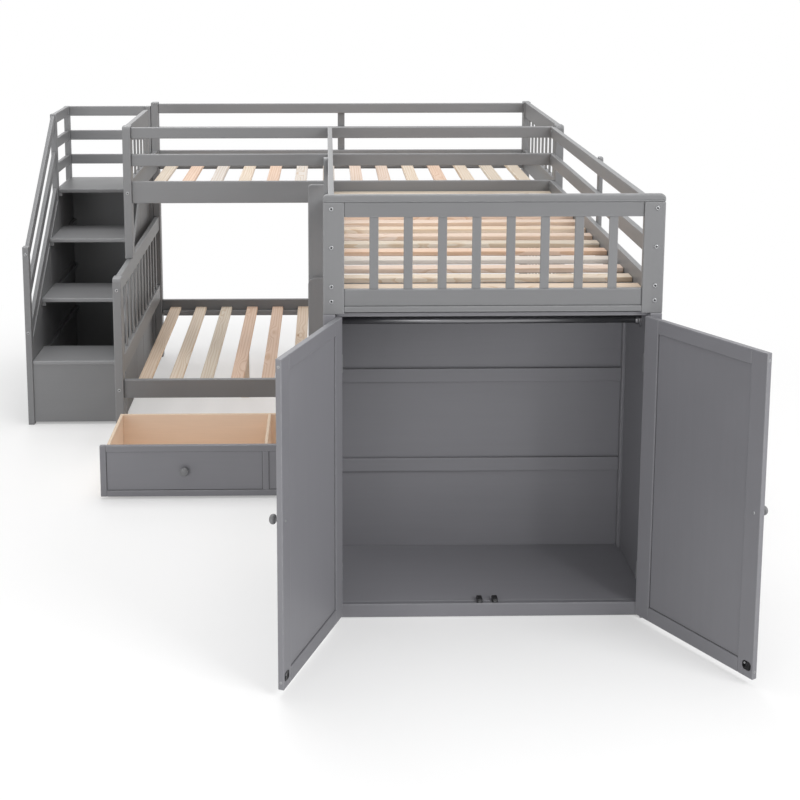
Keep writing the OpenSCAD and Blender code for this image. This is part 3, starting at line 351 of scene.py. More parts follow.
def easedPrism(outline, low, high, radius):
    # A ring of points runs round the outline and is carried down through the thickness. At edge
    # angle a the ring is drawn in by r(1 - cos a) and lies r(1 - sin a) below the face. Each
    # corner turns on a circle, its centre moved in along the mitre m by the circle's radius R:
    # p = outline - m max(R, draw) + max(R - draw, 0) (cos b, sin b).
    count = len(outline)
    ahead = np.roll(outline, -1, axis=0) - outline
    length = np.linalg.norm(ahead, axis=1)
    ahead = ahead / length[:, None]
    normalNext = np.stack([ahead[:, 1], -ahead[:, 0]], axis=1)
    normalBefore = np.roll(normalNext, 1, axis=0)
    facing = (normalBefore * normalNext).sum(axis=1)
    mitre = (normalBefore + normalNext) / (1 + facing)[:, None]
    turning = normalBefore[:, 0] * normalNext[:, 1] - normalBefore[:, 1] * normalNext[:, 0]
    swingBy = np.arctan2(turning, facing)
    bend = np.tan(np.abs(swingBy) / 2) + 1e-9
    shorter = np.minimum(length, np.roll(length, 1))
    cornerR = np.where(turning > 0, np.minimum(easing["cornerRadius"] * radius,
                                                 easing["cornerMost"] * shorter / bend), 0.0)
    base = np.arctan2(normalBefore[:, 1], normalBefore[:, 0])
    angles = base[:, None] + swingBy[:, None] * np.linspace(0, 1, easing["cornerSteps"])
    spread = np.stack([np.cos(angles), np.sin(angles)], axis=2)
    gap = cornerR * bend + easing["inset"]
    most = easing["sideMost"] * length
    before = outline - np.roll(ahead, 1, axis=0) * np.minimum(gap, np.roll(most, 1))[:, None]
    after = outline + ahead * np.minimum(gap, most)[:, None]
    rise = np.radians(easing["edgeAngles"])
    half = (high - low) / 2
    inset = min(easing["inset"], easing["insetMost"] * half)
    draw = np.concatenate([[radius + inset], radius * (1 - np.cos(rise)), [0.0]])
    drop = np.concatenate([[0.0], radius * (1 - np.sin(rise)), [radius + inset]])
    wear, side = np.array(easing["wear"]), np.array([0, 0, 0, 1, 1, 1.0])
    draw = np.concatenate([draw, draw[::-1]])[:, None, None, None]
    heights = np.concatenate([high - drop, (low + drop)[::-1]])
    wear, side = np.concatenate([wear, wear[::-1]]), np.concatenate([side, side[::-1]])
    turnR = cornerR[None, :, None, None]
    arcs = (outline[:, None, :] - mitre[:, None, :] * np.maximum(turnR, draw)
            + np.maximum(turnR - draw, 0) * spread)
    starts = before[None, :, None, :] - normalBefore[:, None, :] * draw
    ends = after[None, :, None, :] - normalNext[:, None, :] * draw
    rings = np.concatenate([starts, arcs, ends], axis=2).reshape(len(draw), -1, 2)
    verts = np.concatenate([rings, np.broadcast_to(heights[:, None, None], rings.shape[:2] + (1,))],
                           axis=2)
    worn = np.tile(easing["wear"], count)
    edge = np.maximum(wear[:, None], side[:, None] * worn[None, :])
    rows, columns = rings.shape[:2]
    index = np.arange(rows * columns).reshape(rows, columns)
    right = np.roll(index, -1, axis=1)
    quads = np.stack([index[:-1], index[1:], right[1:], right[:-1]], axis=-1).reshape(-1, 4)
    faces = [quads, index[:1], index[-1:, ::-1]]
    return (verts.reshape(-1, 3), faces, edge.ravel(),
            np.broadcast_to(side[:, None], (rows, columns)).ravel().astype(float))


def revolve(profile, count, closed=False, wave=None):
    # A point (r, h) of the profile goes to (r w cos t, r w sin t, h), t running round in equal
    # steps; w is 1, or a factor for each row and angle where a recess isn't round. The profile
    # runs outwards and up. It ends in flat caps, or is a ring that closes on itself.
    profile = np.asarray(profile, float)
    t = np.arange(count) * 2 * math.pi / count
    reach = profile[:, :1] * (np.ones((len(profile), count)) if wave is None else wave)
    verts = np.stack([reach * np.cos(t), reach * np.sin(t),
                      np.broadcast_to(profile[:, 1:], reach.shape)], axis=2).reshape(-1, 3)
    index = np.arange(len(profile) * count).reshape(len(profile), count)
    rows = np.concatenate([index, index[:1]]) if closed else index
    right = np.roll(rows, -1, axis=1)
    quads = np.stack([rows[:-1], right[:-1], right[1:], rows[1:]], axis=-1).reshape(-1, 4)
    return verts, [quads] if closed else [quads, index[:1, ::-1], index[-1:]]


def aimed(verts, base, toward):  # the local z axis is laid along toward, from base
    toward = np.asarray(toward, float) / np.linalg.norm(toward)
    helper = np.array((0.0, 0.0, 1.0)) if abs(toward[2]) < 0.9 else np.array((1.0, 0.0, 0.0))
    sideways = np.cross(helper, toward)
    sideways /= np.linalg.norm(sideways)
    return verts @ np.stack([sideways, np.cross(toward, sideways), toward]) + base


class Batch:  # surfaces gathered into one mesh
    def __init__(self):
        self.verts, self.corners, self.counts, self.total = [], [], [], 0
        self.layers = {"grainCo": [], "boardColor": [], "edgeWear": [], "sideFace": []}

    def take(self, verts, faces, grain, color, edge=0.0, side=0.0):
        # faces holds one array of vertex numbers for each number of corners
        for face in faces:
            self.corners.append(face.ravel() + self.total)
            self.counts.append(np.full(len(face), face.shape[1]))
        self.total += len(verts)
        self.verts.append(verts)
        self.layers["grainCo"].append(grain)
        self.layers["boardColor"].append(np.broadcast_to(color, (len(verts), 4)))
        self.layers["edgeWear"].append(np.broadcast_to(edge, len(verts)))
        self.layers["sideFace"].append(np.broadcast_to(side, len(verts)))

    def build(self, name):
        verts, corners, counts = map(np.concatenate, (self.verts, self.corners, self.counts))
        mesh = bpy.data.meshes.new(name)
        mesh.vertices.add(len(verts))
        mesh.vertices.foreach_set("co", verts.astype(np.float32).ravel())
        mesh.loops.add(len(corners))
        mesh.loops.foreach_set("vertex_index", corners.astype(np.int32))
        mesh.polygons.add(len(counts))
        mesh.polygons.foreach_set("loop_start", (np.cumsum(counts) - counts).astype(np.int32))
        mesh.update(calc_edges=True)
        for label, kind, key in (("grainCo", "FLOAT_VECTOR", "vector"),
                                 ("boardColor", "FLOAT_COLOR", "color"),
                                 ("edgeWear", "FLOAT", "value"), ("sideFace", "FLOAT", "value")):
            layer = mesh.attributes.new(label, kind, "POINT")
            data = np.concatenate(self.layers[label]).astype(np.float32)
            layer.data.foreach_set(key, data.ravel())
        mesh.polygons.foreach_set("use_smooth", np.ones(len(mesh.polygons), bool))
        mesh.validate()
        mesh.update()
        piece = bpy.data.objects.new(name, mesh)
        bpy.context.scene.collection.objects.link(piece)
        return piece


def dress(piece, nodeName, finish):  # the piece stands for its CAD node and rides with it
    piece.data.materials.append(finishes[finish])
    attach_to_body(piece, bodyOf[nodeName])
    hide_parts(nodeName)
    return piece


grainShift = {"board": 40, "knob": 9}  # each piece takes its grain from another place

tints = {  # base colour and how far one board may stray from it
    "paint": ((0.221, 0.2225, 0.2285), 0.035),
    "cabinet": ((0.222, 0.2205, 0.238), 0.035),  # the cooler grey of the wardrobe and drawers
    "ply": ((0.86, 0.70, 0.565), 0.03),
}
slats = {
    "tones": ((0.74, 0.64, 0.53), (0.70, 0.65, 0.60), (0.75, 0.56, 0.44),
              (0.73, 0.60, 0.48), (0.67, 0.595, 0.50), (0.73, 0.595, 0.505)),
    "lots": 100,  # step of the seed from one slat of a node to the next
    "stray": 0.04,
}


def boardTint(finish, shade=1.0, nodeName="", number=0):
    if finish == "pine":
        seed = slats["lots"] * number + sum(map(ord, nodeName))
        color = np.random.default_rng(seed).choice(slats["tones"])
        color = color * (1 + dice.uniform(-slats["stray"], slats["stray"]))
    else:
        cool = nodeName.startswith(("wardrobe", "drawer_front", "left_door", "right_door"))
        base, stray = tints["cabinet" if cool else finish]
        color = np.array(base) * (1 + dice.uniform(-stray, stray))
    return np.append(color * shade, 1.0)


def addBoard(batch, outline, axes, low, high, radius, color, turn=None):
    # axes: row axes of the outline's two directions and of the thickness
    verts, faces, edge, side = easedPrism(outline, low, high, radius)
    placed = np.empty_like(verts)
    placed[:, axes[0]], placed[:, axes[1]], placed[:, axes[2]] = verts.T
    if (axes[1] - axes[0]) % 3 != 1:
        faces = [face[:, ::-1] for face in faces]
    order = np.argsort(-np.ptp(placed, axis=0))  # along, across and through the board
    grain = placed[:, order] - placed[:, order].mean(axis=0)
    grain = grain + dice.uniform(-grainShift["board"], grainShift["board"], 3)
    if turn is not None:
        placed = turn(placed)
    batch.take(placed, faces, grain, color, edge, side)


def dressBoards(nodeName, finish, radius, back=None, turn=None, shade=1.0):
    # back undoes a swing so that the boards lie along the axes, turn puts it on again
    batch = Batch()
    for number, (points, triangles) in enumerate(nodeSolids(nodeName)):
        if back is not None:
            points = back(points)
        lo, hi = boxOf(points)
        thin = int(np.argmin(hi - lo))
        axes = [k for k in range(3) if k != thin]
        outline = rimOf(points, triangles, axes, thin, hi[thin])
        r = min(radius, 0.3 * (hi[thin] - lo[thin]))
        tone = shade[number] if isinstance(shade, tuple) else shade
        addBoard(batch, outline, axes + [thin], lo[thin], hi[thin], r,
                 boardTint(finish, tone, nodeName, number), turn)
    return dress(batch.build(nodeName + "_wood"), nodeName, finish)


# Painted light and shade: each shade factor makes a board lighter or darker for how the light falls
# on it, as on the treads (1.22 to 1.25), the landing (0.72), the wardrobe's floor (1.24) and side
# panels (0.86)
boards = {  # node: finish, edge radius in metres, shade (or one for each board from the front)
    "lower_end_posts": ("paint", 0.0030, 1.0), "lower_end_rails": ("paint", 0.0025, 1.0),
    "lower_end_spindles": ("paint", 0.0018, 1.0), "upper_end_posts": ("paint", 0.0030, 1.0),
    "upper_end_boards": ("paint", 0.0025, 1.0), "upper_end_spindles": ("paint", 0.0018, 1.0),
    "lower_bed_rails": ("paint", 0.0028, (0.84, 0.74)), "lower_slats": ("pine", 0.0030, 1.0),
    "center_support": ("pine", 0.0025, 0.9), "slat_ledgers": ("paint", 0.0020, 1.0),
    "upper_bed_rails": ("paint", 0.0028, 1.0), "upper_slats": ("pine", 0.0030, 1.0),
    "front_guard_rails": ("paint", 0.0030, 1.0), "back_guard_rails": ("paint", 0.0030, 1.0),
    "guard_mid_posts": ("paint", 0.0030, 1.0), "mid_support_lower": ("paint", 0.0030, 1.0),
    "mid_support_upper": ("paint", 0.0030, 1.12), "loft_side_rails": ("paint", 0.0028, 1.0),
    "loft_end_rail": ("paint", 0.0028, 1.0), "loft_slats": ("pine", 0.0030, 1.0),
    "loft_guard_rails": ("paint", 0.0030, 1.0), "loft_stiles": ("paint", 0.0028, 0.96),
    "loft_cap": ("paint", 0.0040, 0.94), "loft_cross_rails": ("paint", 0.0022, 0.95),
    "loft_balusters": ("paint", 0.0018, 1.0), "stair_posts": ("paint", 0.0030, 1.0),
    "stair_side_boards": ("paint", 0.0015, 0.95), "stair_back_panel": ("paint", 0.0015, 1.0),
    "stair_treads": ("paint", 0.0040, (1.22, 1.25, 1.22, 0.72)),
    "stair_riser": ("paint", 0.0020, 1.0),
    "stair_cleats": ("paint", 0.0020, 1.0), "stair_guard_rails": ("paint", 0.0030, 1.0),
    "stair_handrails": ("paint", 0.0030, 1.0), "wardrobe_posts": ("paint", 0.0028, 1.0),
    "wardrobe_side_panels": ("paint", 0.0010, 0.86), "wardrobe_back_panel": ("paint", 0.0010, 1.05),
    "wardrobe_battens": ("paint", 0.0015, 1.04), "wardrobe_bottom_rail": ("paint", 0.0020, 1.0),
    "wardrobe_floor": ("paint", 0.0012, 1.24), "wardrobe_top_panel": ("paint", 0.0012, 1.0),
    "drawer_front_frame": ("paint", 0.0018, 1.0), "drawer_front_panels": ("paint", 0.0010, 1.0),
    "drawer_box": ("ply", 0.0010, 1.0),
}
for nodeName, (finish, radius, shade) in boards.items():
    dressBoards(nodeName, finish, radius, shade=shade)
print("boards dressed:", len(boards))

panelGapShadow = {
    "housed": 0.007,  # how deep the panel sits in its frame
    "wide": 0.0018,
    "proud": 0.00012,  # the strip stands out this far, and goes in this far:
    "sunk": 0.0004,
    "edge": 0.00005,
    "shade": 0.16,
}


def gapShadowLines(nodeName, panels, turn=None):
    # painted shadow: four narrow dark strips on each face stand for the shadow in the gap where a
    # loose panel enters its frame
    batch = Batch()
    # the strips' near-black paint is the painted shadow of the gap
    color = boardTint("paint", panelGapShadow["shade"], nodeName)
    for lo, hi in panels:
        x0, x1 = lo[0] + panelGapShadow["housed"], hi[0] - panelGapShadow["housed"]
        z0, z1 = lo[2] + panelGapShadow["housed"], hi[2] - panelGapShadow["housed"]
        w = panelGapShadow["wide"]
        for low, high in ((lo[1] - panelGapShadow["proud"], lo[1] + panelGapShadow["sunk"]),
                          (hi[1] - panelGapShadow["sunk"], hi[1] + panelGapShadow["proud"])):
            for a0, a1, b0, b1 in ((x0, x1, z0, z0 + w), (x0, x1, z1 - w, z1),
                                   (x0, x0 + w, z0 + w, z1 - w), (x1 - w, x1, z0 + w, z1 - w)):
                strip = np.array([(a0, b0), (a1, b0), (a1, b1), (a0, b1)])
                addBoard(batch, strip, [0, 2, 1], low, high, panelGapShadow["edge"], color, turn)
    piece = batch.build(nodeName + "_gaps")
    piece.data.materials.append(finishes["paint"])
    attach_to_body(piece, bodyOf[nodeName])


gapShadowLines("drawer_front_panels", [boxOf(points) for points, _ in nodeSolids("drawer_front_panels")])
# Painted shade: the right door's paint is made darker (shade 0.95 against the left door's 1.0) for
# the light that falls on it
doors = {"left": {"open": -111.0, "leafSide": 1, "edge": 0.0016, "shade": 1.0},
         "right": {"open": 121.0, "leafSide": -1, "edge": 0.0016, "shade": 0.95}}


def swing(pin, degrees):  # turns points about a vertical line
    a = math.radians(degrees)
    matrix = np.array([(math.cos(a), -math.sin(a), 0), (math.sin(a), math.cos(a), 0), (0, 0, 1)])
    return lambda points: (points - pin) @ matrix.T + pin


for side, door in doors.items():
    door["pin"] = np.array(joints[side + "_door_hinge"]["pos_m"]) * (1, 1, 0)
    door["turn"] = swing(door["pin"], door["open"])
    door["back"] = swing(door["pin"], -door["open"])
    dressBoards(side + "_door", "paint", door["edge"], door["back"], door["turn"], door["shade"])
    wood = [boxOf(door["back"](points)) for points, _ in nodeSolids(side + "_door")]
    panel = min(wood, key=lambda box: box[1][1] - box[0][1])  # the thinnest of the five boards
    gapShadowLines(side + "_door", [panel], door["turn"])
print("doors dressed")

knob = {  # radius and height as shares of the largest radius and the length
    "profile": [(0.60, 0.0), (0.62, 0.024), (0.58, 0.055), (0.44, 0.118), (0.37, 0.216),
                (0.36, 0.314), (0.44, 0.376), (0.66, 0.424), (0.86, 0.482), (0.97, 0.573),
                (1.0, 0.659), (0.975, 0.753), (0.89, 0.847), (0.74, 0.925), (0.52, 0.976),
                (0.26, 0.996), (0.02, 1.0)],
    "round": 40,
    "shade": 0.88,
}


def dressKnobs(nodeName, back=None, turn=None):
    batch = Batch()
    for points, _ in nodeSolids(nodeName):
        if back is not None:
            points = back(points)
        lo, hi = boxOf(points)
        middle, size = (lo + hi) / 2, hi - lo
        verts, faces = revolve(np.array(knob["profile"]) * (size[2] / 2, size[1]), knob["round"])
        placed = aimed(verts, np.array((middle[0], hi[1], middle[2])), (0, -1, 0))
        if turn is not None:
            placed = turn(placed)
        grain = verts[:, ::-1] + dice.uniform(-grainShift["knob"], grainShift["knob"], 3)
        batch.take(placed, faces, grain, boardTint("paint", knob["shade"]))
    return dress(batch.build(nodeName + "_turned"), nodeName, "paint")


dressKnobs("drawer_knobs")
for side, door in doors.items():
    dressKnobs(side + "_door_knob", door["back"], door["turn"])
print("knobs turned")

# recess is a painted shade: the near-black colour of the hollows in bolt sockets and screw heads
metal = {"zinc": (0.42, 0.425, 0.435, 1), "rod": (0.27, 0.27, 0.28, 1),
         "recess": (0.05, 0.05, 0.052, 1), "blackened": (0.035, 0.035, 0.038, 1),
         "rubber": (0.022, 0.022, 0.024, 1), "hub": (0.07, 0.07, 0.073, 1)}


def addTurned(batch, profile, base, toward, color, count=32, closed=False, wave=None, turn=None):
    verts, faces = revolve(profile, count, closed, wave)
    placed = aimed(verts, np.asarray(base, float), toward)
    if turn is not None:
        placed = turn(placed)
    color = np.asarray(color, float)
    if color.ndim == 2:  # one colour for each row of the profile
        color = np.repeat(color, count, axis=0)
    batch.take(placed, faces, verts[:, ::-1], color)


bolt = {"head": 0.0070, "height": 0.0024, "socket": 0.0027, "deep": 0.0017, "shank": 0.0030,
        "round": 24}


def addBolt(batch, seat, toward, length):
    # The socket's rows follow a hexagon, whose radius at angle t is s / cos(t'), t' being t
    # folded into the 60 degrees round each flat.
    t = np.arange(bolt["round"]) * 2 * math.pi / bolt["round"]
    hexagon = 1 / np.cos((t + math.pi / 6) % (math.pi / 3) - math.pi / 6)
    s, h, r, k, deep = (bolt[key] for key in ("socket", "height", "head", "shank", "deep"))
    profile = [(k * 0.7, -length), (k, -length + 0.001), (k, 0.0), (r * 0.96, 0.0), (r, h * 0.2),
               (r * 0.985, h * 0.55), (r * 0.90, h * 0.86), (r * 0.72, h), (s * 1.22, h),
               (s, h - 0.0003), (s * 0.97, h - deep), (s * 0.03, h - deep)]
    wave = np.ones((len(profile), bolt["round"]))
    wave[-3:-1] = hexagon
    # painted shade: the socket's rows are coloured near black for the shade inside it
    color = np.array([metal["zinc"]] * 9 + [metal["recess"]] * 3)
    addTurned(batch, profile, seat, toward, color, bolt["round"], wave=wave)


def dressBolts(nodeName):
    batch = Batch()
    for points, _ in nodeSolids(nodeName):
        lo, hi = boxOf(points)
        long = int(np.argmax(hi - lo))
        wide = [k for k in range(3) if k != long]
        middle = (lo + hi) / 2
        reach = np.linalg.norm(points[:, wide] - middle[wide], axis=1)
        sign = 1.0 if points[reach > 0.8 * reach.max(), long].mean() > middle[long] else -1.0
        toward = np.zeros(3)
        toward[long] = sign
        seat = middle.copy()
        seat[long] = (hi[long] if sign > 0 else lo[long]) - sign * bolt["height"]
        addBolt(batch, seat, toward, hi[long] - lo[long] - bolt["height"])
    return dress(batch.build(nodeName + "_turned"), nodeName, "steel")


dressBolts("bed_bolts")
print("bolts made")

screw = {"recess": 0.52, "round": 24}


def addScrew(batch, base, toward, radius, height, turn=None):
    # The cross recess has the radius s (0.4 + 0.6 cos(2t)^6) at angle t.
    t = np.arange(screw["round"]) * 2 * math.pi / screw["round"]
    cross = 0.4 + 0.6 * np.cos(2 * t) ** 6
    s = screw["recess"] * radius
    profile = [(radius * 0.9, -0.0004), (radius, 0.0), (radius * 0.97, height * 0.5),
               (radius * 0.84, height * 0.85), (s * 1.15, height), (s, height * 0.97),
               (s * 0.9, height * 0.15), (s * 0.05, height * 0.15)]
    wave = np.ones((len(profile), screw["round"]))
    wave[-3:-1] = cross
    # painted shade: the cross recess is coloured near black for the shade inside it
    color = np.array([metal["zinc"]] * 6 + [metal["recess"]] * 2)
    addTurned(batch, profile, base, toward, color, screw["round"], wave=wave, turn=turn)


def roundedBox(a0, a1, b0, b1, corner, steps=5):  # counter-clockwise outline with round corners
    turns = np.linspace(0, math.pi / 2, steps)
    centres = [(a1 - corner, b1 - corner, 0), (a0 + corner, b1 - corner, math.pi / 2),
               (a0 + corner, b0 + corner, math.pi), (a1 - corner, b0 + corner, 1.5 * math.pi)]
    return np.concatenate([np.stack([a + corner * np.cos(turns + start),
                                     b + corner * np.sin(turns + start)], axis=1)
                           for a, b, start in centres])


rod = {"foot": 0.0040, "cup": 0.0180, "cupWall": 0.0030, "footRim": 0.0130, "play": 0.0003,
       "screws": 3, "screw": 0.0028, "screwHigh": 0.0009, "endRound": 0.002, "endRise": 0.001,
       "round": 48}


def dressRod():
    points, _ = nodeSolids("hanging_rod")[0]
    lo, hi = boxOf(points)
    middle, radius, length = (lo + hi) / 2, (hi[2] - lo[2]) / 2, hi[0] - lo[0]
    batch = Batch()
    small, rise = radius - rod["endRound"], rod["endRise"]
    profile = [(small, 0.0), (radius, rise), (radius, length - rise), (small, length)]
    addTurned(batch, profile, (lo[0], middle[1], middle[2]), (1, 0, 0), metal["rod"],
              rod["round"])
    dress(batch.build("hanging_rod_turned"), "hanging_rod", "steel")
    batch = Batch()
    for points, _ in nodeSolids("rod_flanges"):
        lo, hi = boxOf(points)
        toward = 1.0 if (lo + hi)[0] / 2 < middle[0] else -1.0
        base = np.array((lo[0] if toward > 0 else hi[0], middle[1], middle[2]))
        inner, outer = radius + rod["play"], radius + rod["cupWall"]
        rim, foot, cup = radius + rod["footRim"], rod["foot"], rod["cup"]
        profile = [(rim - 0.0004, 0.0), (rim, 0.0006), (rim, foot - 0.0014),
                   (rim - 0.0012, foot - 0.0003), (rim - 0.0026, foot),
                   (outer + 0.0012, foot), (outer + 0.0002, foot + 0.0010),
                   (outer, foot + 0.0030), (outer, cup - 0.0010), (outer - 0.0008, cup),
                   (inner + 0.0004, cup), (inner, cup - 0.0005), (inner, foot), (0.0002, foot)]
        addTurned(batch, profile, base, (toward, 0, 0), metal["rod"], rod["round"])
        for k in range(rod["screws"]):
            a = math.pi / 2 + k * 2 * math.pi / rod["screws"]
            ring = (outer + rim) / 2
            seat = base + (toward * foot, ring * math.cos(a), ring * math.sin(a))
            addScrew(batch, seat, (toward, 0, 0), rod["screw"], rod["screwHigh"])
    dress(batch.build("rod_flanges_turned"), "rod_flanges", "steel")


dressRod()

dowel = {"endRound": 0.001, "endRise": 0.0015, "round": 24}


def dressDowels(nodeName):
    batch = Batch()
    for points, _ in nodeSolids(nodeName):
        lo, hi = boxOf(points)
        middle, radius, length = (lo + hi) / 2, (hi[0] - lo[0]) / 2, hi[2] - lo[2]
        small, rise = radius - dowel["endRound"], dowel["endRise"]
        profile = [(small, 0.0), (radius, rise), (radius, length - rise), (small, length)]
        addTurned(batch, profile, (middle[0], middle[1], lo[2]), (0, 0, 1), metal["zinc"],
                  dowel["round"])
    dress(batch.build(nodeName + "_turned"), nodeName, "steel")


dressDowels("stack_dowels")

hinge = {
    "inner": 0.00025, "outer": 0.00125,  # faces of the leaf, from the pin's middle
    "leafFrom": 0.0045, "leafCorner": 0.0025, "leafEdge": 0.0002,
    "strap": 0.0028, "strapLap": 0.0004, "strapEdge": 0.0001,
    "knuckle": 0.0040, "knuckleEdge": 0.0004, "bore": 0.0023, "slit": 0.0003, "parts": 5,
    "onPost": (0, 2, 4), "onDoor": (1, 3),  # which of the knuckles each leaf holds
    "screw": 0.0026, "screwHigh": 0.00022,
    "screwSeats": ((0.16, -0.003), (0.5, 0.003), (0.84, -0.003)),  # share of the height, offset
    "shank": 0.0020, "pinHead": 0.0034, "pinHeadHigh": 0.0016, "round": 24,
}


def addLeaf(batch, pin, lo, hi, side, parts, turn=None):
    # plate between the pin and the leaf's far edge, a strap to each knuckle, then the knuckles
    xs = sorted((pin[0] + side * hinge["inner"], pin[0] + side * hinge["outer"]))
    color = np.array(metal["zinc"])
    plate = roundedBox(pin[1] + hinge["leafFrom"], hi[1], lo[2], hi[2],
                       hinge["leafCorner"])
    addBoard(batch, plate, [1, 2, 0], xs[0], xs[1], hinge["leafEdge"], color, turn)
    step = (hi[2] - lo[2]) / hinge["parts"]
    for k in parts:
        z0, z1 = lo[2] + k * step + hinge["slit"] / 2, lo[2] + (k + 1) * step - hinge["slit"] / 2
        y0, y1 = pin[1] + hinge["strap"], pin[1] + hinge["leafFrom"] + hinge["strapLap"]
        strap = np.array([(y0, z0), (y1, z0), (y1, z1), (y0, z1)])
        addBoard(batch, strap, [1, 2, 0], xs[0], xs[1], hinge["strapEdge"], color, turn)
        b, r, long, e = hinge["bore"], hinge["knuckle"], z1 - z0, hinge["knuckleEdge"]
        profile = [(b, e), (b + e, 0), (r - e, 0), (r, e), (r, long - e), (r - e, long),
                   (b + e, long), (b, long - e)]
        addTurned(batch, profile, (pin[0], pin[1], z0), (0, 0, 1), color, hinge["round"],
                  closed=True, turn=turn)
    middle = pin[1] + hinge["leafFrom"] / 2 + (hi[1] - pin[1]) / 2
    for share, offset in hinge["screwSeats"]:
        face = pin[0] + side * hinge["inner"]
        seat = (face, middle + offset, lo[2] + share * (hi[2] - lo[2]))
        addScrew(batch, seat, (-side, 0, 0), hinge["screw"], hinge["screwHigh"], turn)


def dressHinges():
    batch = Batch()
    pins = Batch()
    for points, _ in nodeSolids("hinge_post_leaves"):
        lo, hi = boxOf(points)
        door = min(doors.values(), key=lambda d: abs(d["pin"][0] - (lo[0] + hi[0]) / 2))
        addLeaf(batch, door["pin"], lo, hi, -door["leafSide"], hinge["onPost"])
    for points, _ in nodeSolids("hinge_pins"):
        lo, hi = boxOf(points)
        middle, r, head, long = (lo + hi) / 2, hinge["shank"], hinge["pinHead"], hi[2] - lo[2]
        neck = long - hinge["pinHeadHigh"]
        profile = [(r - 0.0005, 0.0), (r, 0.0005), (r, neck), (head - 0.0002, neck),
                   (head, long - 0.0012), (head * 0.93, long - 0.0006),
                   (head * 0.7, long - 0.0001), (head * 0.05, long)]
        addTurned(pins, profile, (middle[0], middle[1], lo[2]), (0, 0, 1), metal["zinc"],
                  hinge["round"])
    dress(batch.build("hinge_post_leaves_plates"), "hinge_post_leaves", "steel")
    dress(pins.build("hinge_pins_turned"), "hinge_pins", "steel")


dressHinges()

fittings = {
    "leafLeast": 0.05,  # what is taller than this is a hinge leaf, the rest a strike plate
    "railMid": 0.0225, "jointScrew": 0.0042, "jointScrewHigh": 0.0005,
    "knobScrew": 0.0045, "knobScrewHigh": 0.0016,
    "strikeCorner": 0.009, "strikeEdge": 0.0004, "strikeScrew": 0.0036,
    "strikeScrewHigh": 0.0003, "strikeScrewAt": (0.0075, 0, 0.006),
}


def dressDoorHardware(side, door):
    # the hinge leaves, the blackened strike plate and the screws that show on the door
    batch = Batch()
    pin, turn = door["pin"], door["turn"]
    for points, _ in nodeSolids(side + "_door_hardware"):
        points = door["back"](points)
        lo, hi = boxOf(points)
        if hi[2] - lo[2] > fittings["leafLeast"]:
            addLeaf(batch, pin, lo, hi, door["leafSide"], hinge["onDoor"], turn)
        else:
            plate = roundedBox(lo[0], hi[0], lo[2], hi[2], fittings["strikeCorner"])
            addBoard(batch, plate[::-1], [0, 2, 1], lo[1], hi[1], fittings["strikeEdge"],
                     np.array(metal["blackened"]), turn)
            seat = np.array(((lo[0] + hi[0]) / 2, hi[1], (lo[2] + hi[2]) / 2))
            addScrew(batch, seat + fittings["strikeScrewAt"], (0, 1, 0),
                     fittings["strikeScrew"], fittings["strikeScrewHigh"], turn)
    wood = door["back"](np.concatenate([points for points, _ in nodeSolids(side + "_door")]))
    lo, hi = boxOf(wood)
    free = hi[0] if door["leafSide"] > 0 else lo[0]
    for z in (lo[2] + fittings["railMid"], hi[2] - fittings["railMid"]):
        addScrew(batch, (free, (lo[1] + hi[1]) / 2, z), (door["leafSide"], 0, 0),
                 fittings["jointScrew"], fittings["jointScrewHigh"], turn)
    grip = door["back"](nodeSolids(side + "_door_knob")[0][0])
    middle = sum(boxOf(grip)) / 2
    addScrew(batch, (middle[0], hi[1], middle[2]), (0, 1, 0), fittings["knobScrew"],
             fittings["knobScrewHigh"], turn)
    dress(batch.build(side + "_door_fittings"), side + "_door_hardware", "steel")


for side, door in doors.items():
    dressDoorHardware(side, door)
print("hinges and door fittings made")

catch = {"face": 0.002, "disc": 0.0050, "corner": 0.003, "edge": 0.0022, "round": 32}


def dressCatches(nodeName):
    batch = Batch()
    for points, _ in nodeSolids(nodeName):
        lo, hi = boxOf(points)
        middle = (lo + hi) / 2
        black = np.array(metal["rubber"])
        block = roundedBox(lo[0], hi[0], lo[1] + catch["face"], hi[1], catch["corner"])
        addBoard(batch, block, [0, 1, 2], lo[2], hi[2], catch["edge"], black)
        r, deep = catch["disc"], catch["face"]
        profile = [(r * 0.9, -0.001), (r, 0.0), (r, deep - 0.0005), (r - 0.0005, deep),
                   (r * 0.7, deep), (r * 0.66, deep - 0.0004), (r * 0.03, deep - 0.0004)]
        addTurned(batch, profile, (middle[0], lo[1] + deep, middle[2]), (0, -1, 0),
                  metal["hub"], catch["round"])
    return dress(batch.build(nodeName + "_blocks"), nodeName, "black")


dressCatches("floor_catches")

wheel = {  # ring profile of half a wheel: radius, then distance from its middle, in millimetres
    "half": [(3.3, 8.0), (5.3, 8.0), (5.8, 7.4), (6.0, 6.2), (6.3, 5.6), (9.8, 5.6), (10.2, 6.2),
             (10.8, 7.4), (11.6, 7.9), (12.6, 7.7), (13.5, 6.7), (13.9, 5.4), (14.0, 4.0)],
    "hubRows": 4,
    "round": 40,
}


def dressWheels(nodeName):
    batch = Batch()
    half = np.array(wheel["half"]) / 1000
    profile = np.concatenate([half * (1, -1), half[::-1]])
    hub = [metal["hub"]] * wheel["hubRows"]
    tyre = [metal["rubber"]] * (len(half) - wheel["hubRows"])
    color = np.array(hub + tyre + tyre + hub)
    for points, _ in nodeSolids(nodeName):
        middle = sum(boxOf(points)) / 2
        addTurned(batch, profile, middle, (1, 0, 0), color, wheel["round"], closed=True)
    return dress(batch.build(nodeName + "_turned"), nodeName, "black")


dressWheels("drawer_wheels_front")
dressWheels("drawer_wheels_back")

bracket = {"cheek": 0.003, "edge": 0.0005, "shoulder": 0.006, "foot": 0.008, "footSteps": 9,
           "axle": 0.003, "axleUp": 0.008, "axleEnd": 0.0008, "round": 24}


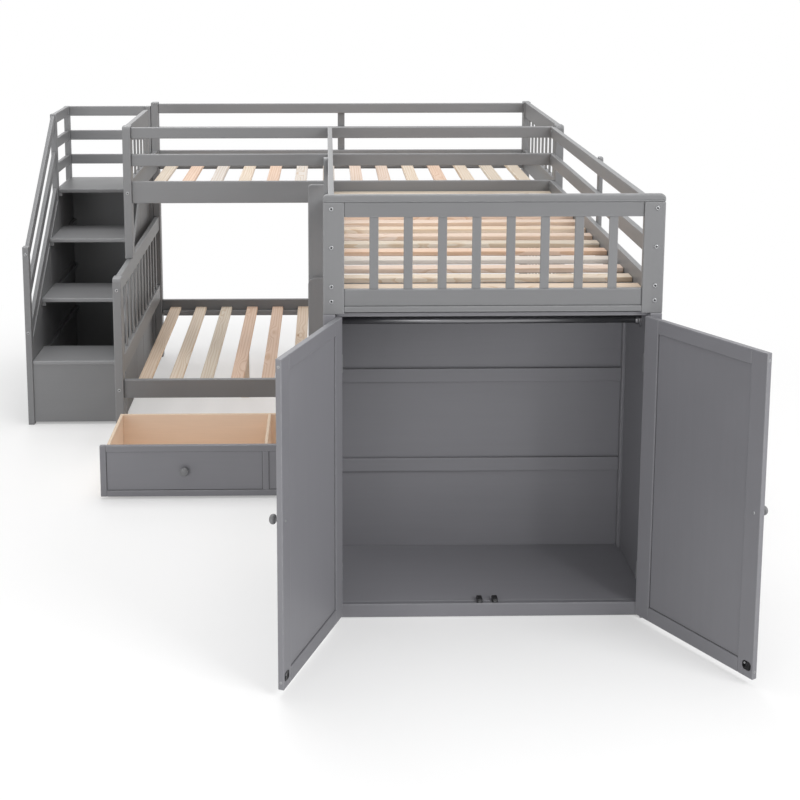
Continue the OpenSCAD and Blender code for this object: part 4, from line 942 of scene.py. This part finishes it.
def dressBrackets(nodeName):
    # each cheek narrows from its top to a half round under the axle
    batch = Batch()
    for points, _ in nodeSolids(nodeName):
        lo, hi = boxOf(points)
        middle = (lo + hi) / 2
        z = lo[2] + bracket["axleUp"]
        turns = np.linspace(-math.pi, 0, bracket["footSteps"])[1:-1]
        foot = np.stack([middle[1] + bracket["foot"] * np.cos(turns),
                         z + bracket["foot"] * np.sin(turns)], axis=1)
        shoulder = hi[2] - bracket["shoulder"]
        cheek = np.concatenate([[(middle[1] - bracket["foot"], z)], foot,
                                [(middle[1] + bracket["foot"], z), (hi[1], shoulder),
                                 (hi[1], hi[2]), (lo[1], hi[2]), (lo[1], shoulder)]])
        for x in (lo[0], hi[0] - bracket["cheek"]):
            addBoard(batch, cheek, [1, 2, 0], x, x + bracket["cheek"], bracket["edge"],
                     np.array(metal["zinc"]))
        r, long, rise = bracket["axle"], hi[0] - lo[0], bracket["axleEnd"]
        profile = [(r * 0.5, 0.0), (r, rise), (r, long - rise), (r * 0.5, long)]
        addTurned(batch, profile, (lo[0], middle[1], z), (1, 0, 0), metal["zinc"],
                  bracket["round"])
    return dress(batch.build(nodeName + "_plates"), nodeName, "steel")


dressBrackets("wheel_brackets")
print("catches, wheels and brackets made")

studio = {
    "floor": 0.86,  # the floor's grey as it lights the object, and as the camera sees it:
    "seenFloor": 0.62,
    "lift": 0.36,  # glow that the camera sees on the floor
    "fade": (1.9, 3.4),  # metres from the middle where the floor goes over to white
    "world": 0.55,
    "half": 30,  # of the floor's width
    "aim": (0.0, -0.3, 0.6),
}


def paleFloor():  # keeps the object's shadow, and fades to white for the camera further out
    f = Finish("paleFloor")
    f.shader.inputs["Roughness"].default_value = 0.9
    f.shader.inputs["Specular IOR Level"].default_value = 0.1
    f.shader.inputs["Emission Color"].default_value = (1, 1, 1, 1)
    seen = f.add("ShaderNodeLightPath", {}, out="Is Camera Ray")
    attach(f.tree, f.shader.inputs["Emission Strength"], seen * studio["lift"])
    tone = f.mixed(seen, (studio["floor"],) * 3 + (1,), (studio["seenFloor"],) * 3 + (1,))
    attach(f.tree, f.shader.inputs["Base Color"], tone)
    reach = f.add("ShaderNodeVectorMath", {"operation": "LENGTH"},
                  {0: f.add("ShaderNodeTexCoord", {}, out="Object")}, out="Value")
    white = f.add("ShaderNodeEmission", {}, {"Color": (1, 1, 1, 1), "Strength": 1.0})
    away = f.window(reach, *studio["fade"]) * seen
    blend = f.add("ShaderNodeMixShader", {},
                  {0: away, 1: Wire(f.tree, f.shader.outputs[0]), 2: white})
    attach(f.tree, f.tree.nodes["Material Output"].inputs["Surface"], blend)
    return f.material


floorMesh = bpy.data.meshes.new("studioFloor")
half = studio["half"]
floorMesh.from_pydata([(-half, -half, 0), (half, -half, 0), (half, half, 0), (-half, half, 0)],
                      [], [(0, 1, 2, 3)])
floorPiece = bpy.data.objects.new("studioFloor", floorMesh)
bpy.context.scene.collection.objects.link(floorPiece)
floorMesh.materials.append(paleFloor())

world = bpy.data.worlds.new("studioWorld")
world.use_nodes = True
bpy.context.scene.world = world
sky = world.node_tree.nodes["Background"]
sky.inputs["Color"].default_value = (1, 1, 1, 1)
rays = world.node_tree.nodes.new("ShaderNodeLightPath")
seen, mirrored, through = (Wire(world.node_tree, rays.outputs[name]) for name in
                           ("Is Camera Ray", "Is Glossy Ray", "Is Transmission Ray"))
either = seen + mirrored + through
straight = either.join("MINIMUM", either, 1.0)  # 1 for what is seen, mirrored or seen through
attach(world.node_tree, sky.inputs["Strength"],
       studio["world"] + straight * (1.0 - studio["world"]))

lamps = {  # place, width and power
    "key": ((4.2, -4.8, 3.8), 3.0, 178.0), "fill": ((-2.6, -5.8, 1.2), 2.0, 50.0),
    "top": ((-0.2, 0.4, 5.2), 3.6, 122.0), "back": ((-1.6, 5.2, 4.8), 2.4, 55.0),
}
for name, (place, size, power) in lamps.items():
    lamp = bpy.data.lights.new(name, "AREA")
    lamp.size, lamp.energy = size, power
    piece = bpy.data.objects.new(name, lamp)
    piece.location = place
    direction = np.array(studio["aim"]) - np.array(place)
    yaw = math.atan2(direction[1], direction[0]) - math.pi / 2
    pitch = math.atan2(direction[2], math.hypot(direction[0], direction[1]))
    piece.rotation_euler = (math.pi / 2 + pitch, 0, yaw)
    bpy.context.scene.collection.objects.link(piece)

view = {"place": (0.0496, -5.4657, 2.1157), "pitch": 8.968, "yaw": -1.038, "lens": 61.87,
        "sensor": 36.0, "shift": (0.06, -0.28), "far": 200}
camera = bpy.data.cameras.new("photoView")
camera.lens, camera.sensor_width = view["lens"], view["sensor"]
camera.shift_x, camera.shift_y = view["shift"]
camera.clip_end = view["far"]
eye = bpy.data.objects.new("photoView", camera)
eye.location = view["place"]
eye.rotation_euler = (math.radians(90 - view["pitch"]), 0, math.radians(view["yaw"]))
bpy.context.scene.collection.objects.link(eye)
bpy.context.scene.camera = eye
bpy.context.scene.view_settings.view_transform = "Standard"
print("studio set")
